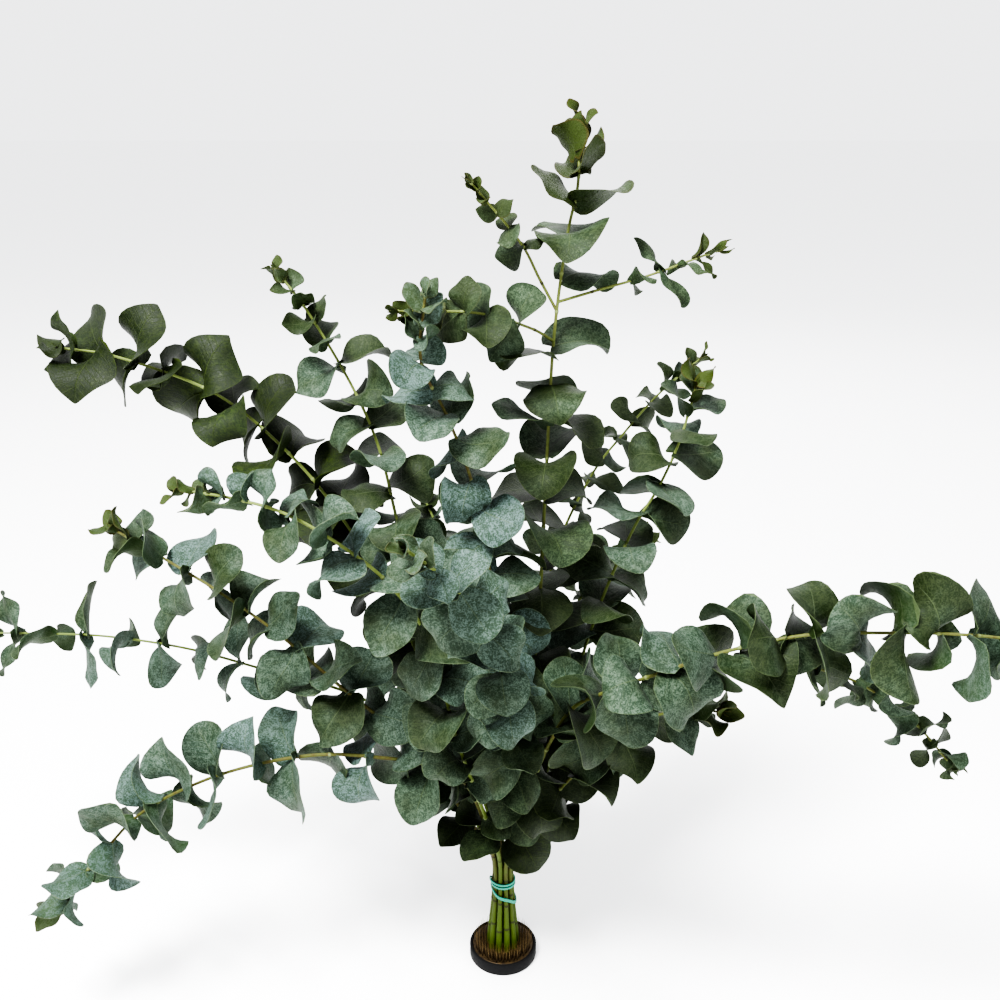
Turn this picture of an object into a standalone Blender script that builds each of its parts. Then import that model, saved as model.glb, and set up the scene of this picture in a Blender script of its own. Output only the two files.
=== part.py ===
"""A tied bunch of silver-dollar eucalyptus, standing in a round pin holder.

Metres, +Z up. The origin is the middle of the holder's flat underside, and the bunch is
seen from -Y, with +X to the right. Fifteen leafy stems stand on the holder's pins, a rubber
band holds them together above it, and they lean and arch outwards from there.
"""

import math
import random

import bmesh
import bpy
from mathutils import Matrix, Vector
from mathutils.bvhtree import BVHTree

# The pin holder, a brass plate with pins inside a black rubber ring.
PLATE_RADIUS = 0.030
PLATE_HEIGHT = 0.0115
PLATE_EDGE = 0.0006
RING_RADIUS = 0.033
RING_HEIGHT = 0.012
RING_ROUND = 0.0010
PIN_LENGTH = 0.013
PIN_RADIUS = 0.0009
PIN_PITCH = 0.0046
PIN_FIELD = 0.0278
PIN_SUNK = 0.001
PIN_SIDES = 3
ROUND_SEGMENTS = 28
GAP = 0.0003

# The bundle: stems side by side in two rings where the rubber band holds them. Below it
# they spread to their feet, which stand among the pins, and above it to their necks.
STEM_RADIUS = 0.0023
INNER_COUNT, INNER_RADIUS, INNER_TURN = 5, 0.0041, 18
OUTER_COUNT, OUTER_RADIUS, OUTER_TURN = 10, 0.0085, 0
FOOT_HEIGHT = PLATE_HEIGHT + GAP
FOOT_SPREAD = 1.55
TIE_HEIGHT = 0.084
NECK_HEIGHT = 0.118
NECK_SPREAD = 1.28

# The rubber band goes three times round the bundle. At every quarter turn, from the left
# and by the front, this gives its height above the tie and its width. Over the quarters
# of BAND_CLIMB it climbs over its own first turns, stays on them, and comes down again.
BAND_COURSE = (
    (0.0055, 0.0024), (0.0050, 0.0024), (0.0045, 0.0024), (0.0035, 0.0024),
    (0.0020, 0.0024), (0.0015, 0.0024), (0.0010, 0.0024), (0.0000, 0.0024),
    (-0.0015, 0.0024), (-0.0105, 0.0036), (-0.0215, 0.0036), (-0.0100, 0.0026),
)
BAND_CLIMB = (10.4, 11.2, 11.95, 12.6)
BAND_STEPS = 5
BAND_THICKNESS = 0.0010
BAND_LIFT = 0.0015

# A leaf is pulled out of the stem's side: cross rows out to the tip, given as shares of its
# length.
LARGE_ROWS = (0.20, 0.64)
SMALL_ROWS = (0.42,)
SMALL_LEAF = 0.026
OUTLINE_SWELL = 1.06
LEAF_THICKNESS = 0.0006
LEAF_CLEARANCE = 0.0004
SLIMMEST_TWIG = 0.0009
BUD_LENGTH = 0.003
BARE_STEP = 0.045

# Leaves roll at their base to face the light, which comes from the front and above.
LIGHT = Vector((0.05, -0.78, 0.62)).normalized()
MOST_ROLL = 80
# Those that point at the light droop this much more, in degrees.
MORE_DROOP = 40

# Ways to turn, tilt, shrink and unroll a leaf that would cross something, gentlest first.
FITS = (
    (0, 0, 1.0, 1.0), (0, 0, 1.0, 0.7), (14, 0, 1.0, 1.0), (-14, 0, 1.0, 1.0),
    (0, 14, 1.0, 0.8), (0, -14, 1.0, 0.8), (0, 0, 1.0, 0.35), (26, 8, 0.95, 0.8),
    (-26, 8, 0.95, 0.8), (26, -12, 0.95, 0.6), (-26, -12, 0.95, 0.6), (0, 24, 0.85, 0.6),
    (0, -24, 0.85, 0.6), (38, 0, 0.85, 0.6), (-38, 0, 0.85, 0.6), (0, 0, 0.7, 0.3),
    (20, 20, 0.7, 0.3), (-20, 20, 0.7, 0.3), (20, -20, 0.7, 0.3), (-20, -20, 0.7, 0.3),
)


def bundle_place(place):
    """Where a stem stands across the bundle at the tie: inner places first, then outer."""
    if place < INNER_COUNT:
        turn = math.radians(INNER_TURN + place * 360 / INNER_COUNT)
        return Vector((math.cos(turn), math.sin(turn), 0)) * INNER_RADIUS
    turn = math.radians(OUTER_TURN + (place - INNER_COUNT) * 360 / OUTER_COUNT)
    return Vector((math.cos(turn), math.sin(turn), 0)) * OUTER_RADIUS


class Spray:
    """A run of wood with leaf pairs: the points that it passes, and how it is leaved."""

    def __init__(self, points, leaf, spacing, bare, shrink, turn=0, slim=1.0, tip=0.30,
                 facing=(0.55, 1.0), wood=None):
        self.points = [Vector(point) for point in points]
        self.leaf = leaf
        self.spacing = spacing
        self.bare = bare
        self.shrink = shrink
        self.turn = turn
        self.slim = slim
        self.tip = tip
        self.facing = facing
        self.wood = wood or (STEM_RADIUS, 0.0011)


def stem(place, points, **leaves):
    """A whole stem: its foot, the tie and the neck above it come before its own points."""
    across = bundle_place(place)
    foot = across * FOOT_SPREAD + Vector((0, 0, FOOT_HEIGHT))
    tie = across + Vector((0, 0, TIE_HEIGHT))
    neck = across * NECK_SPREAD + Vector((0, 0, NECK_HEIGHT))
    return Spray([foot, tie, neck, *points], **leaves)


def twig(parent, start, points, **leaves):
    """A side shoot that grows out of its parent, start metres along it."""
    root = Route(parent).at(start)[0]
    leaves.setdefault("wood", (0.0013, SLIMMEST_TWIG))
    return Spray([root, *points], **leaves)


class Route:
    """A smooth curve through a spray's points, with a frame that turns no more than it must."""

    STEPS = 14

    def __init__(self, spray):
        ends = spray.points
        before = ends[0] * 2 - ends[1]
        after = ends[-1] * 2 - ends[-2]
        knots = [before, *ends, after]
        self.points = []
        for a, b, c, d in zip(knots, knots[1:], knots[2:], knots[3:]):
            for step in range(self.STEPS):
                t = step / self.STEPS
                self.points.append(
                    0.5 * (2 * b + (c - a) * t + (2 * a - 5 * b + 4 * c - d) * t**2
                           + (3 * b - a - 3 * c + d) * t**3)
                )
        self.points.append(ends[-1])
        self.far = [0.0]
        for a, b in zip(self.points, self.points[1:]):
            self.far.append(self.far[-1] + (b - a).length)
        self.length = self.far[-1]
        self.along = [
            (self.points[min(i + 1, len(self.points) - 1)] - self.points[max(i - 1, 0)]).normalized()
            for i in range(len(self.points))
        ]
        side = Vector((1, 0, 0))
        self.side = []
        for tangent in self.along:
            side = (side - tangent * side.dot(tangent)).normalized()
            self.side.append(side)

    def at(self, distance):
        """The point, the direction and the side direction at a distance from the start."""
        distance = min(max(distance, 0.0), self.length)
        i = 0
        while i < len(self.far) - 2 and self.far[i + 1] < distance:
            i += 1
        t = (distance - self.far[i]) / (self.far[i + 1] - self.far[i])
        tangent = self.along[i].lerp(self.along[i + 1], t).normalized()
        side = self.side[i].lerp(self.side[i + 1], t)
        side = (side - tangent * side.dot(tangent)).normalized()
        return self.points[i].lerp(self.points[i + 1], t), tangent, side

    def radius(self, distance, wood):
        return wood[0] + (wood[1] - wood[0]) * (distance / self.length) ** 0.8


class Leaf:
    """One leaf of a pair: where it grows, how it points, and how its blade bends."""

    def __init__(self, spray, route, distance, pair, half, key):
        draw = random.Random(f"{key} {pair} {half}")
        shared = random.Random(f"{key} {pair}")
        grown = min(1.0, (route.length - distance) / spray.shrink)
        self.point, self.tangent, self.side = route.at(distance)
        self.corner = (pair + 2 * half) % 4
        size = spray.tip + (1 - spray.tip) * grown**0.8
        self.length = spray.leaf * size * draw.uniform(0.90, 1.08)
        self.width = self.length * spray.slim * (0.74 + 0.28 * grown) * draw.uniform(0.94, 1.06)
        self.turn = spray.turn + 90 * self.corner + shared.uniform(-18, 18)
        self.tilt = 14 + 40 * (1 - grown) + draw.uniform(-16, 20)
        self.droop = draw.uniform(-10, 75) * grown - 18 * (1 - grown)
        self.twist = draw.uniform(-35, 35)
        across, along, up = self.axes()
        self.droop += MORE_DROOP * grown * max(LIGHT.dot(along), 0.0)
        roll = math.degrees(math.atan2(-LIGHT.dot(across), LIGHT.dot(up)))
        self.roll = max(-MOST_ROLL, min(MOST_ROLL, roll)) * draw.uniform(*spray.facing)
        self.cup = draw.uniform(-0.14, 0.24)
        self.wave = draw.uniform(-0.08, 0.08)

    def fitted(self, fit):
        """The same leaf turned, tilted, shrunk and unrolled by one of the FITS."""
        turn, tilt, size, roll = fit
        other = object.__new__(Leaf)
        other.__dict__.update(self.__dict__)
        other.turn += turn
        other.tilt += tilt
        other.length *= size
        other.width *= size
        other.roll *= roll
        other.twist *= roll
        return other

    def half_width(self, u):
        """A round blade with a blunt point: widest at two fifths of its length."""
        return self.width / 2 * 2.319 * max(u, 0.0) ** 0.5 * max(1 - u, 0.0) ** 0.75

    def axes(self):
        """Across, along and up from the blade where it leaves the stem."""
        turn, tilt = math.radians(self.turn), math.radians(self.tilt)
        other = self.tangent.cross(self.side)
        out = self.side * math.cos(turn) + other * math.sin(turn)
        along = out * math.cos(tilt) + self.tangent * math.sin(tilt)
        up = self.tangent * math.cos(tilt) - out * math.sin(tilt)
        return along.cross(up), along, up

    def lean(self, u):
        """How far the blade is rolled there: most of the way near its base."""
        return math.radians(self.roll * (1 - (1 - u) ** 3) + self.twist * u)

    def rolled(self):
        """Across and up from the blade once it has rolled."""
        across, _, up = self.axes()
        roll = math.radians(self.roll)
        return (across * math.cos(roll) + up * math.sin(roll),
                up * math.cos(roll) - across * math.sin(roll))

    def facing(self, u):
        """Across the blade and out of its upper face, at share u of its length."""
        level, above = self.rolled()
        bend = math.radians(self.droop) * u
        raised = above * math.cos(bend) + self.axes()[1] * math.sin(bend)
        late = self.lean(u) - math.radians(self.roll)
        return (level * math.cos(late) + raised * math.sin(late),
                raised * math.cos(late) - level * math.sin(late))

    def surface(self, u, v):
        """The point at share u of the length and share v of the half width."""
        full = math.radians(self.droop) or 1e-6
        run = self.length * math.sin(full * u) / full
        fall = self.length * (1 - math.cos(full * u)) / full
        middle = self.point + self.axes()[1] * run - self.rolled()[1] * fall
        x = v * self.half_width(u)
        height = self.cup * u * x * x / (self.width / 2)
        height += self.wave * x * math.sin(2 * math.pi * u)
        across, out = self.facing(u)
        return middle + across * x + out * height


def leaves_of(spray, route, key):
    """The leaf pairs from the tip down, closer and smaller at the tip, with their distances."""
    distance, pair = route.length - 0.001, 0
    while distance > spray.bare:
        yield distance, [Leaf(spray, route, distance, pair, half, key) for half in (0, 1)]
        grown = min(1.0, (route.length - distance) / spray.shrink)
        distance -= spray.spacing * (0.34 + 0.66 * grown)
        pair += 1


# The stems, by name: the main run first, then the twigs that grow on it. The points
# are in metres, and were chosen so that each stem stands and arches as the real one does.
def bunch():
    tall = stem(
        0, [(0.018, -0.004, 0.225), (0.030, -0.010, 0.365), (0.035, -0.010, 0.500),
            (0.040, 0.000, 0.615), (0.050, 0.015, 0.695), (0.058, 0.020, 0.735),
            (0.059, 0.033, 0.780)],
        leaf=0.056, spacing=0.030, bare=0.25, shrink=0.08, turn=8, tip=0.45, facing=(0.0, 0.35),
    )
    yield "stem_tall", [
        tall,
        twig(tall, 0.606, [(0.020, -0.020, 0.630), (-0.020, -0.040, 0.645), (-0.080, -0.060, 0.650)],
             leaf=0.038, spacing=0.024, bare=0.03, shrink=0.06, turn=30),
        twig(tall, 0.630, [(0.028, 0.000, 0.665), (0.012, -0.010, 0.695), (-0.025, -0.030, 0.740)],
             leaf=0.031, spacing=0.023, bare=0.04, shrink=0.06, turn=70, tip=0.4),
        twig(tall, 0.637, [(0.077, 0.010, 0.655), (0.118, 0.020, 0.665), (0.175, 0.040, 0.682)],
             leaf=0.038, spacing=0.024, bare=0.04, shrink=0.05, turn=10, slim=0.6, tip=0.45),
    ]
    yield "stem_upper_left", [
        stem(1, [(-0.008, 0.012, 0.160), (-0.030, 0.010, 0.227), (-0.062, 0.020, 0.337),
                 (-0.091, 0.030, 0.437), (-0.108, 0.045, 0.508), (-0.131, 0.060, 0.561),
                 (-0.167, 0.070, 0.624), (-0.195, 0.080, 0.660)],
             leaf=0.050, spacing=0.029, bare=0.14, shrink=0.10, turn=20, tip=0.4, facing=(0.3, 0.9)),
    ]
    yield "stem_far_left", [
        stem(2, [(-0.022, 0.016, 0.179), (-0.068, 0.030, 0.290), (-0.112, 0.040, 0.387),
                 (-0.154, 0.050, 0.458), (-0.198, 0.055, 0.512), (-0.254, 0.060, 0.558),
                 (-0.333, 0.060, 0.589), (-0.380, 0.056, 0.598)],
             leaf=0.058, spacing=0.031, bare=0.16, shrink=0.03, turn=65, tip=0.65, facing=(0.85, 1.0)),
    ]
    yield "stem_mid_left", [
        stem(12, [(-0.010, -0.034, 0.165), (-0.024, -0.060, 0.230), (-0.040, -0.080, 0.300),
                  (-0.058, -0.098, 0.395), (-0.086, -0.115, 0.453), (-0.120, -0.122, 0.488),
                  (-0.161, -0.118, 0.512), (-0.201, -0.110, 0.521), (-0.242, -0.100, 0.524)],
             leaf=0.048, spacing=0.029, bare=0.11, shrink=0.12, turn=60, tip=0.35),
    ]
    yield "stem_left", [
        stem(10, [(-0.031, -0.008, 0.160), (-0.067, -0.020, 0.231), (-0.097, -0.030, 0.274),
                  (-0.142, -0.035, 0.321), (-0.191, -0.030, 0.367), (-0.241, -0.020, 0.402),
                  (-0.287, -0.010, 0.428), (-0.332, 0.000, 0.452)],
             leaf=0.048, spacing=0.030, bare=0.14, shrink=0.06, turn=60, tip=0.45, facing=(0.7, 1.0)),
    ]
    yield "stem_thin_left", [
        stem(9, [(-0.022, 0.010, 0.138), (-0.051, 0.020, 0.195), (-0.098, 0.035, 0.243),
                 (-0.156, 0.050, 0.268), (-0.228, 0.055, 0.287), (-0.302, 0.060, 0.307),
                 (-0.378, 0.060, 0.320), (-0.445, 0.060, 0.323), (-0.490, 0.055, 0.326)],
             leaf=0.050, spacing=0.036, bare=0.15, shrink=0.05, turn=5, slim=0.6, tip=0.6,
             wood=(STEM_RADIUS, SLIMMEST_TWIG)),
    ]
    yield "stem_low_left", [
        stem(11, [(-0.016, -0.022, 0.165), (-0.035, -0.038, 0.225), (-0.070, -0.050, 0.252),
                  (-0.111, -0.055, 0.262), (-0.156, -0.060, 0.268), (-0.210, -0.065, 0.262),
                  (-0.263, -0.070, 0.246), (-0.313, -0.075, 0.219), (-0.353, -0.080, 0.177),
                  (-0.395, -0.085, 0.128)],
             leaf=0.050, spacing=0.031, bare=0.13, shrink=0.05, turn=70, slim=0.9, tip=0.5, facing=(0.7, 1.0)),
    ]
    yield "stem_front", [
        stem(4, [(0.008, -0.024, 0.165), (0.011, -0.050, 0.220), (0.009, -0.085, 0.293),
                 (0.001, -0.125, 0.369), (-0.010, -0.165, 0.433), (-0.032, -0.212, 0.495),
                 (-0.060, -0.252, 0.539)],
             leaf=0.045, spacing=0.028, bare=0.17, shrink=0.08, turn=25, tip=0.4, facing=(0.2, 0.9)),
    ]
    yield "stem_upright", [
        stem(3, [(-0.004, -0.012, 0.200), (-0.006, -0.032, 0.290), (-0.005, -0.050, 0.373),
                 (-0.017, -0.060, 0.479), (-0.029, -0.060, 0.530), (-0.045, -0.060, 0.573),
                 (-0.062, -0.067, 0.615), (-0.057, -0.075, 0.664)],
             leaf=0.048, spacing=0.028, bare=0.22, shrink=0.09, turn=60, tip=0.35, facing=(0.3, 1.0)),
    ]
    yield "stem_right_up", [
        stem(5, [(0.038, 0.002, 0.200), (0.067, 0.000, 0.318), (0.090, 0.005, 0.394),
                 (0.114, 0.010, 0.453), (0.133, 0.016, 0.485), (0.150, 0.022, 0.525),
                 (0.163, 0.030, 0.573)],
             leaf=0.048, spacing=0.029, bare=0.18, shrink=0.06, turn=5, tip=0.45, facing=(0.3, 0.9)),
    ]
    yield "stem_right_back", [
        stem(6, [(0.022, 0.022, 0.185), (0.028, 0.034, 0.275), (0.047, 0.070, 0.394),
                 (0.082, 0.100, 0.466), (0.114, 0.120, 0.503), (0.149, 0.140, 0.537),
                 (0.190, 0.158, 0.567)],
             leaf=0.036, spacing=0.025, bare=0.20, shrink=0.08, turn=30, slim=0.75, tip=0.4,
             wood=(STEM_RADIUS, SLIMMEST_TWIG)),
    ]
    right = stem(
        13, [(0.012, -0.026, 0.160), (0.024, -0.044, 0.225), (0.052, -0.070, 0.312),
             (0.081, -0.090, 0.346), (0.119, -0.115, 0.377), (0.165, -0.140, 0.410),
             (0.217, -0.160, 0.434), (0.268, -0.170, 0.441), (0.326, -0.175, 0.442),
             (0.388, -0.180, 0.437)],
        leaf=0.057, spacing=0.028, bare=0.15, shrink=0.03, turn=25, tip=0.7, facing=(0.85, 1.0),
    )
    yield "stem_right", [
        right,
        twig(right, 0.500, [(0.240, -0.130, 0.390), (0.279, -0.120, 0.370), (0.324, -0.115, 0.335),
                            (0.362, -0.115, 0.292)],
             leaf=0.036, spacing=0.024, bare=0.05, shrink=0.06, turn=20, slim=0.75, tip=0.4),
    ]
    yield "stem_low_right", [
        stem(14, [(0.028, -0.022, 0.165), (0.050, -0.036, 0.215), (0.077, -0.048, 0.255),
                  (0.102, -0.060, 0.288), (0.125, -0.068, 0.310), (0.155, -0.076, 0.323),
                  (0.178, -0.085, 0.325)],
             leaf=0.050, spacing=0.029, bare=0.115, shrink=0.06, turn=30, tip=0.45),
    ]
    yield "stem_back_right", [
        stem(7, [(0.012, 0.040, 0.165), (0.034, 0.085, 0.245), (0.070, 0.140, 0.305),
                 (0.112, 0.190, 0.340), (0.160, 0.235, 0.352)],
             leaf=0.048, spacing=0.029, bare=0.12, shrink=0.06, turn=15),
    ]
    yield "stem_back_left", [
        stem(8, [(-0.012, 0.044, 0.165), (-0.024, 0.095, 0.255), (-0.046, 0.155, 0.330),
                 (-0.072, 0.215, 0.375), (-0.088, 0.250, 0.395)],
             leaf=0.048, spacing=0.029, bare=0.13, shrink=0.07, turn=45),
    ]


def material(name, colour, roughness, metallic=0.0):
    made = bpy.data.materials.new(name)
    made.use_nodes = True
    shader = made.node_tree.nodes["Principled BSDF"]
    shader.inputs["Base Color"].default_value = (*colour, 1)
    shader.inputs["Roughness"].default_value = roughness
    shader.inputs["Metallic"].default_value = metallic
    return made


def gathering(name):
    made = bpy.data.collections.new(name)
    bpy.context.scene.collection.children.link(made)
    return made


def mesh_object(name, bm, collection, finish=None):
    """A new object that holds a bmesh, which is freed."""
    mesh = bpy.data.meshes.new(name)
    bm.to_mesh(mesh)
    bm.free()
    made = bpy.data.objects.new(name, mesh)
    collection.objects.link(made)
    if finish:
        mesh.materials.append(finish)
    return made


def union(base, collection):
    """The base joined with every object of the collection, which are then removed."""
    joined = base.modifiers.new("join", "BOOLEAN")
    joined.operation = "UNION"
    joined.operand_type = "COLLECTION"
    joined.collection = collection
    joined.solver = "MANIFOLD"
    graph = bpy.context.evaluated_depsgraph_get()
    mesh = bpy.data.meshes.new_from_object(base.evaluated_get(graph))
    base.modifiers.remove(joined)
    base.data = mesh
    for piece in list(collection.objects):
        bpy.data.objects.remove(piece)


def pulled(bm, face, points):
    """The face pulled out so that its corners land on the points, with walls behind it."""
    new = bmesh.ops.extrude_discrete_faces(bm, faces=[face])["faces"][0]
    for vert, point in zip(new.verts, points):
        vert.co = point
    return new


def wall(face, corner):
    """The wall behind a pulled face, between a corner and the next one."""
    edge = face.loops[corner].edge
    return next(other for other in edge.link_faces if other is not face)


def ring(spray, route, distance, raised=0.0, swell=0.0):
    """Four corners round the stem, so that its sides face where the leaves grow."""
    point, tangent, side = route.at(distance)
    other = tangent.cross(side)
    radius = route.radius(distance, spray.wood) + swell
    corners = []
    for corner in range(4):
        turn = math.radians(spray.turn + 90 * corner - 45)
        out = side * math.cos(turn) + other * math.sin(turn)
        corners.append(point + out * radius + tangent * raised)
    return corners


def node_height(leaves, thickness):
    """How tall a stem's side is where a leaf leaves it, so that a tilted blade stays thick."""
    tilt = max(abs(leaf.tilt) for leaf in leaves)
    return thickness / max(math.cos(math.radians(tilt)), 0.5)


def pull_leaf(bm, root, leaf, thickness):
    """A leaf pulled out of a side of the stem, row by row to its tip."""
    across = leaf.axes()[0]
    middle = root.calc_center_median()
    marks = []
    for vert in root.verts:
        offset = vert.co - middle
        marks.append((1 if offset.dot(across) > 0 else -1, 1 if offset.dot(leaf.tangent) > 0 else -1))
    face = root
    for u in (*(LARGE_ROWS if leaf.length > SMALL_LEAF else SMALL_ROWS), 1.0):
        before = dict(zip(marks, face.verts))
        lift = leaf.facing(u)[1] * thickness / 2
        swell = 0.0 if u == 1.0 else OUTLINE_SWELL
        face = pulled(bm, face, [leaf.surface(u, v * swell) + lift * layer for v, layer in marks])
        after = dict(zip(marks, face.verts))
        for layer in (-1, 1):
            near, far = before[-1, layer], after[1, layer]
            blade = next(side for side in near.link_faces if far in side.verts)
            bmesh.utils.face_split(blade, near, far)


def lone_leaf(spray, route, leaf, distance, thickness):
    """One leaf off its stem, for testing what it would cross."""
    height = node_height([leaf], thickness)
    low = ring(spray, route, distance, -height / 2)
    high = ring(spray, route, distance, height / 2)
    here, beyond = leaf.corner, (leaf.corner + 1) % 4
    bm = bmesh.new()
    corners = [bm.verts.new(point) for point in (low[here], low[beyond], high[beyond], high[here])]
    pull_leaf(bm, bm.faces.new(corners), leaf, thickness)
    return bm


def leafy_wood(spray, route, pairs, swell=0.0):
    """A tapering square stem with its leaves pulled out of its sides, from foot to bud."""
    bm = bmesh.new()
    bmesh.ops.create_grid(bm, x_segments=1, y_segments=1, size=1)
    bm.faces.ensure_lookup_table()
    face = bm.faces[0]
    for vert, point in zip(face.verts, ring(spray, route, 0.0, swell=swell)):
        vert.co = point
    bare = pairs[-1][0]
    steps = math.ceil(bare / BARE_STEP)
    for i in range(1, steps):
        face = pulled(bm, face, ring(spray, route, bare * i / steps, swell=swell))
    for distance, leaves in reversed(pairs):
        height = node_height(leaves, LEAF_THICKNESS) if leaves else LEAF_THICKNESS
        face = pulled(bm, face, ring(spray, route, distance, -height / 2, swell))
        face = pulled(bm, face, ring(spray, route, distance, height / 2, swell))
        sides = [wall(face, leaf.corner) for leaf in leaves]
        for side, leaf in zip(sides, leaves):
            pull_leaf(bm, side, leaf, LEAF_THICKNESS)
    tip, tangent, _ = route.at(route.length)
    pulled(bm, face, [tip + tangent * BUD_LENGTH] * 4)
    bmesh.ops.remove_doubles(bm, verts=bm.verts, dist=1e-6)
    bmesh.ops.holes_fill(bm, edges=[edge for edge in bm.edges if edge.is_boundary])
    bmesh.ops.recalc_face_normals(bm, faces=bm.faces)
    return bm


class Filled:
    """A solid that leaves keep clear of, with the box round it."""

    def __init__(self, owner, bm):
        self.owner = owner
        self.tree = BVHTree.FromBMesh(bm)
        self.low = [min(vert.co[i] for vert in bm.verts) for i in range(3)]
        self.high = [max(vert.co[i] for vert in bm.verts) for i in range(3)]
        bm.free()

    def meets(self, other):
        if any(self.low[i] > other.high[i] or other.low[i] > self.high[i] for i in range(3)):
            return False
        return bool(self.tree.overlap(other.tree))


def crosses_itself(bm):
    """Whether any two triangles that share no corner cross. Frees the bmesh."""
    bmesh.ops.triangulate(bm, faces=bm.faces)
    bm.faces.ensure_lookup_table()
    corners = [set(face.verts) for face in bm.faces]
    tree = BVHTree.FromBMesh(bm)
    crossing = any(not corners[i] & corners[j] for i, j in tree.overlap(tree))
    bm.free()
    return crossing


class Growth:
    """A spray with its route, and the leaves that it keeps, pair by pair from its tip."""

    def __init__(self, key, spray):
        self.key = key
        self.spray = spray
        self.route = Route(spray)
        self.pairs = list(leaves_of(spray, self.route, key))
        self.kept = [[] for _ in self.pairs]

    def wood(self, leaves=(), at=None, swell=0.0):
        """The bare stem, or with some leaves at one of its pairs."""
        bare = [(distance, []) for distance, _ in self.pairs]
        if at is not None:
            bare[at] = (self.pairs[at][0], leaves)
        return leafy_wood(self.spray, self.route, bare, swell)

    def leaf_out(self, number, filled):
        """Keeps what it can of one pair, and adds the room that it takes to the filled."""
        distance, leaves = self.pairs[number]
        kept = self.kept[number]
        roomy = LEAF_THICKNESS + 2 * LEAF_CLEARANCE
        others = [other for other in filled if other.owner != self.key]
        for leaf in leaves:
            for way in FITS:
                tried = leaf.fitted(way)
                room = Filled((self.key, number), lone_leaf(self.spray, self.route, tried, distance, roomy))
                if any(room.meets(other) for other in others):
                    continue
                if crosses_itself(self.wood([*kept, tried], at=number)):
                    continue
                kept.append(tried)
                filled.append(room)
                break

    def solid(self, collection):
        pairs = [(distance, kept) for (distance, _), kept in zip(self.pairs, self.kept)]
        return mesh_object(self.key, leafy_wood(self.spray, self.route, pairs), collection)


def leafy_stems(parts, finish):
    """All the stems, each leaf set where it crosses nothing. Returns the stems' routes."""
    nodes = {
        node: [Growth(f"{node} {number}", spray) for number, spray in enumerate(sprays)]
        for node, sprays in bunch()
    }
    growths = [growth for each in nodes.values() for growth in each]
    filled = [Filled(growth.key, growth.wood(swell=2 * LEAF_CLEARANCE)) for growth in growths]
    for number in range(max(len(growth.pairs) for growth in growths)):
        for growth in growths:
            if number < len(growth.pairs):
                growth.leaf_out(number, filled)
    for node, (main, *twigs) in nodes.items():
        made = main.solid(parts)
        if twigs:
            side = gathering(node + " twigs")
            for growth in twigs:
                growth.solid(side)
            union(made, side)
            bpy.data.collections.remove(side)
        made.name = node
        made.data.materials.clear()
        made.data.materials.append(finish)
    wanted = sum(2 * len(growth.pairs) for growth in growths)
    kept = sum(len(pair) for growth in growths for pair in growth.kept)
    print(f"{kept} leaves of {wanted}")
    return [main.route for main, *_ in nodes.values()]


def at_height(route, height):
    """Where a stem stands at a height that it reaches once."""
    for a, b in zip(route.points, route.points[1:]):
        if a.z <= height <= b.z:
            return a.lerp(b, (height - a.z) / (b.z - a.z))
    return route.points[0]


def pin_holder(parts, routes, finish):
    """A round plate with rows of pins, which leave room for the stems' feet."""
    bm = bmesh.new()
    raised = Matrix.Translation((0, 0, PLATE_HEIGHT / 2))
    bmesh.ops.create_cone(
        bm, cap_ends=True, segments=ROUND_SEGMENTS, radius1=PLATE_RADIUS, radius2=PLATE_RADIUS,
        depth=PLATE_HEIGHT, matrix=raised,
    )
    rim = [edge for edge in bm.edges if all(vert.co.z > raised.translation.z for vert in edge.verts)]
    bmesh.ops.bevel(bm, geom=rim, offset=PLATE_EDGE, affect="EDGES", segments=1, profile=0.5, material=-1)
    plate = mesh_object("pin_holder", bm, parts, finish)
    pins = bmesh.new()
    top = PLATE_HEIGHT + PIN_LENGTH
    feet = [(at_height(route, FOOT_HEIGHT), at_height(route, top)) for route in routes]
    clear = STEM_RADIUS + PIN_RADIUS + GAP
    depth = PIN_LENGTH + PIN_SUNK
    rows = int(PIN_FIELD / PIN_PITCH) + 2
    for row in range(-rows, rows + 1):
        for column in range(-rows, rows + 1):
            spot = Vector(((column + row % 2 / 2) * PIN_PITCH, row * PIN_PITCH * math.sqrt(3) / 2, 0))
            if spot.length > PIN_FIELD or any(plan_gap(spot, *foot) < clear for foot in feet):
                continue
            bmesh.ops.create_cone(
                pins, cap_ends=True, segments=PIN_SIDES, radius1=PIN_RADIUS, radius2=0, depth=depth,
                matrix=Matrix.Translation(spot + Vector((0, 0, top - depth / 2))),
            )
    field = gathering("pins")
    mesh_object("pins", pins, field)
    union(plate, field)
    bpy.data.collections.remove(field)


def plan_gap(spot, low, high):
    """How far a spot lies from the line between two points, seen from above."""
    low, high = low.xy, high.xy
    share = (spot.xy - low).dot(high - low) / max((high - low).length_squared, 1e-12)
    return (spot.xy - low.lerp(high, min(max(share, 0), 1))).length


def rubber_ring(parts, finish):
    """The ring round the plate: a profile turned about the upright axis."""
    inner = PLATE_RADIUS + GAP
    profile = [
        (inner, 0), (inner, RING_HEIGHT), (RING_RADIUS - RING_ROUND, RING_HEIGHT),
        (RING_RADIUS, RING_HEIGHT - RING_ROUND), (RING_RADIUS, 0),
    ]
    bm = bmesh.new()
    verts = [bm.verts.new((x, 0, z)) for x, z in profile]
    for a, b in zip(verts, verts[1:] + verts[:1]):
        bm.edges.new((a, b))
    made = mesh_object("rubber_ring", bm, parts, finish)
    turned = made.modifiers.new("turn", "SCREW")
    turned.steps = turned.render_steps = ROUND_SEGMENTS
    turned.use_merge_vertices = True
    turned.merge_threshold = 0.0001


def eased(share):
    """From 0 to 1, with no jerk at either end."""
    share = min(max(share, 0.0), 1.0)
    return share * share * (3 - 2 * share)


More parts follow.
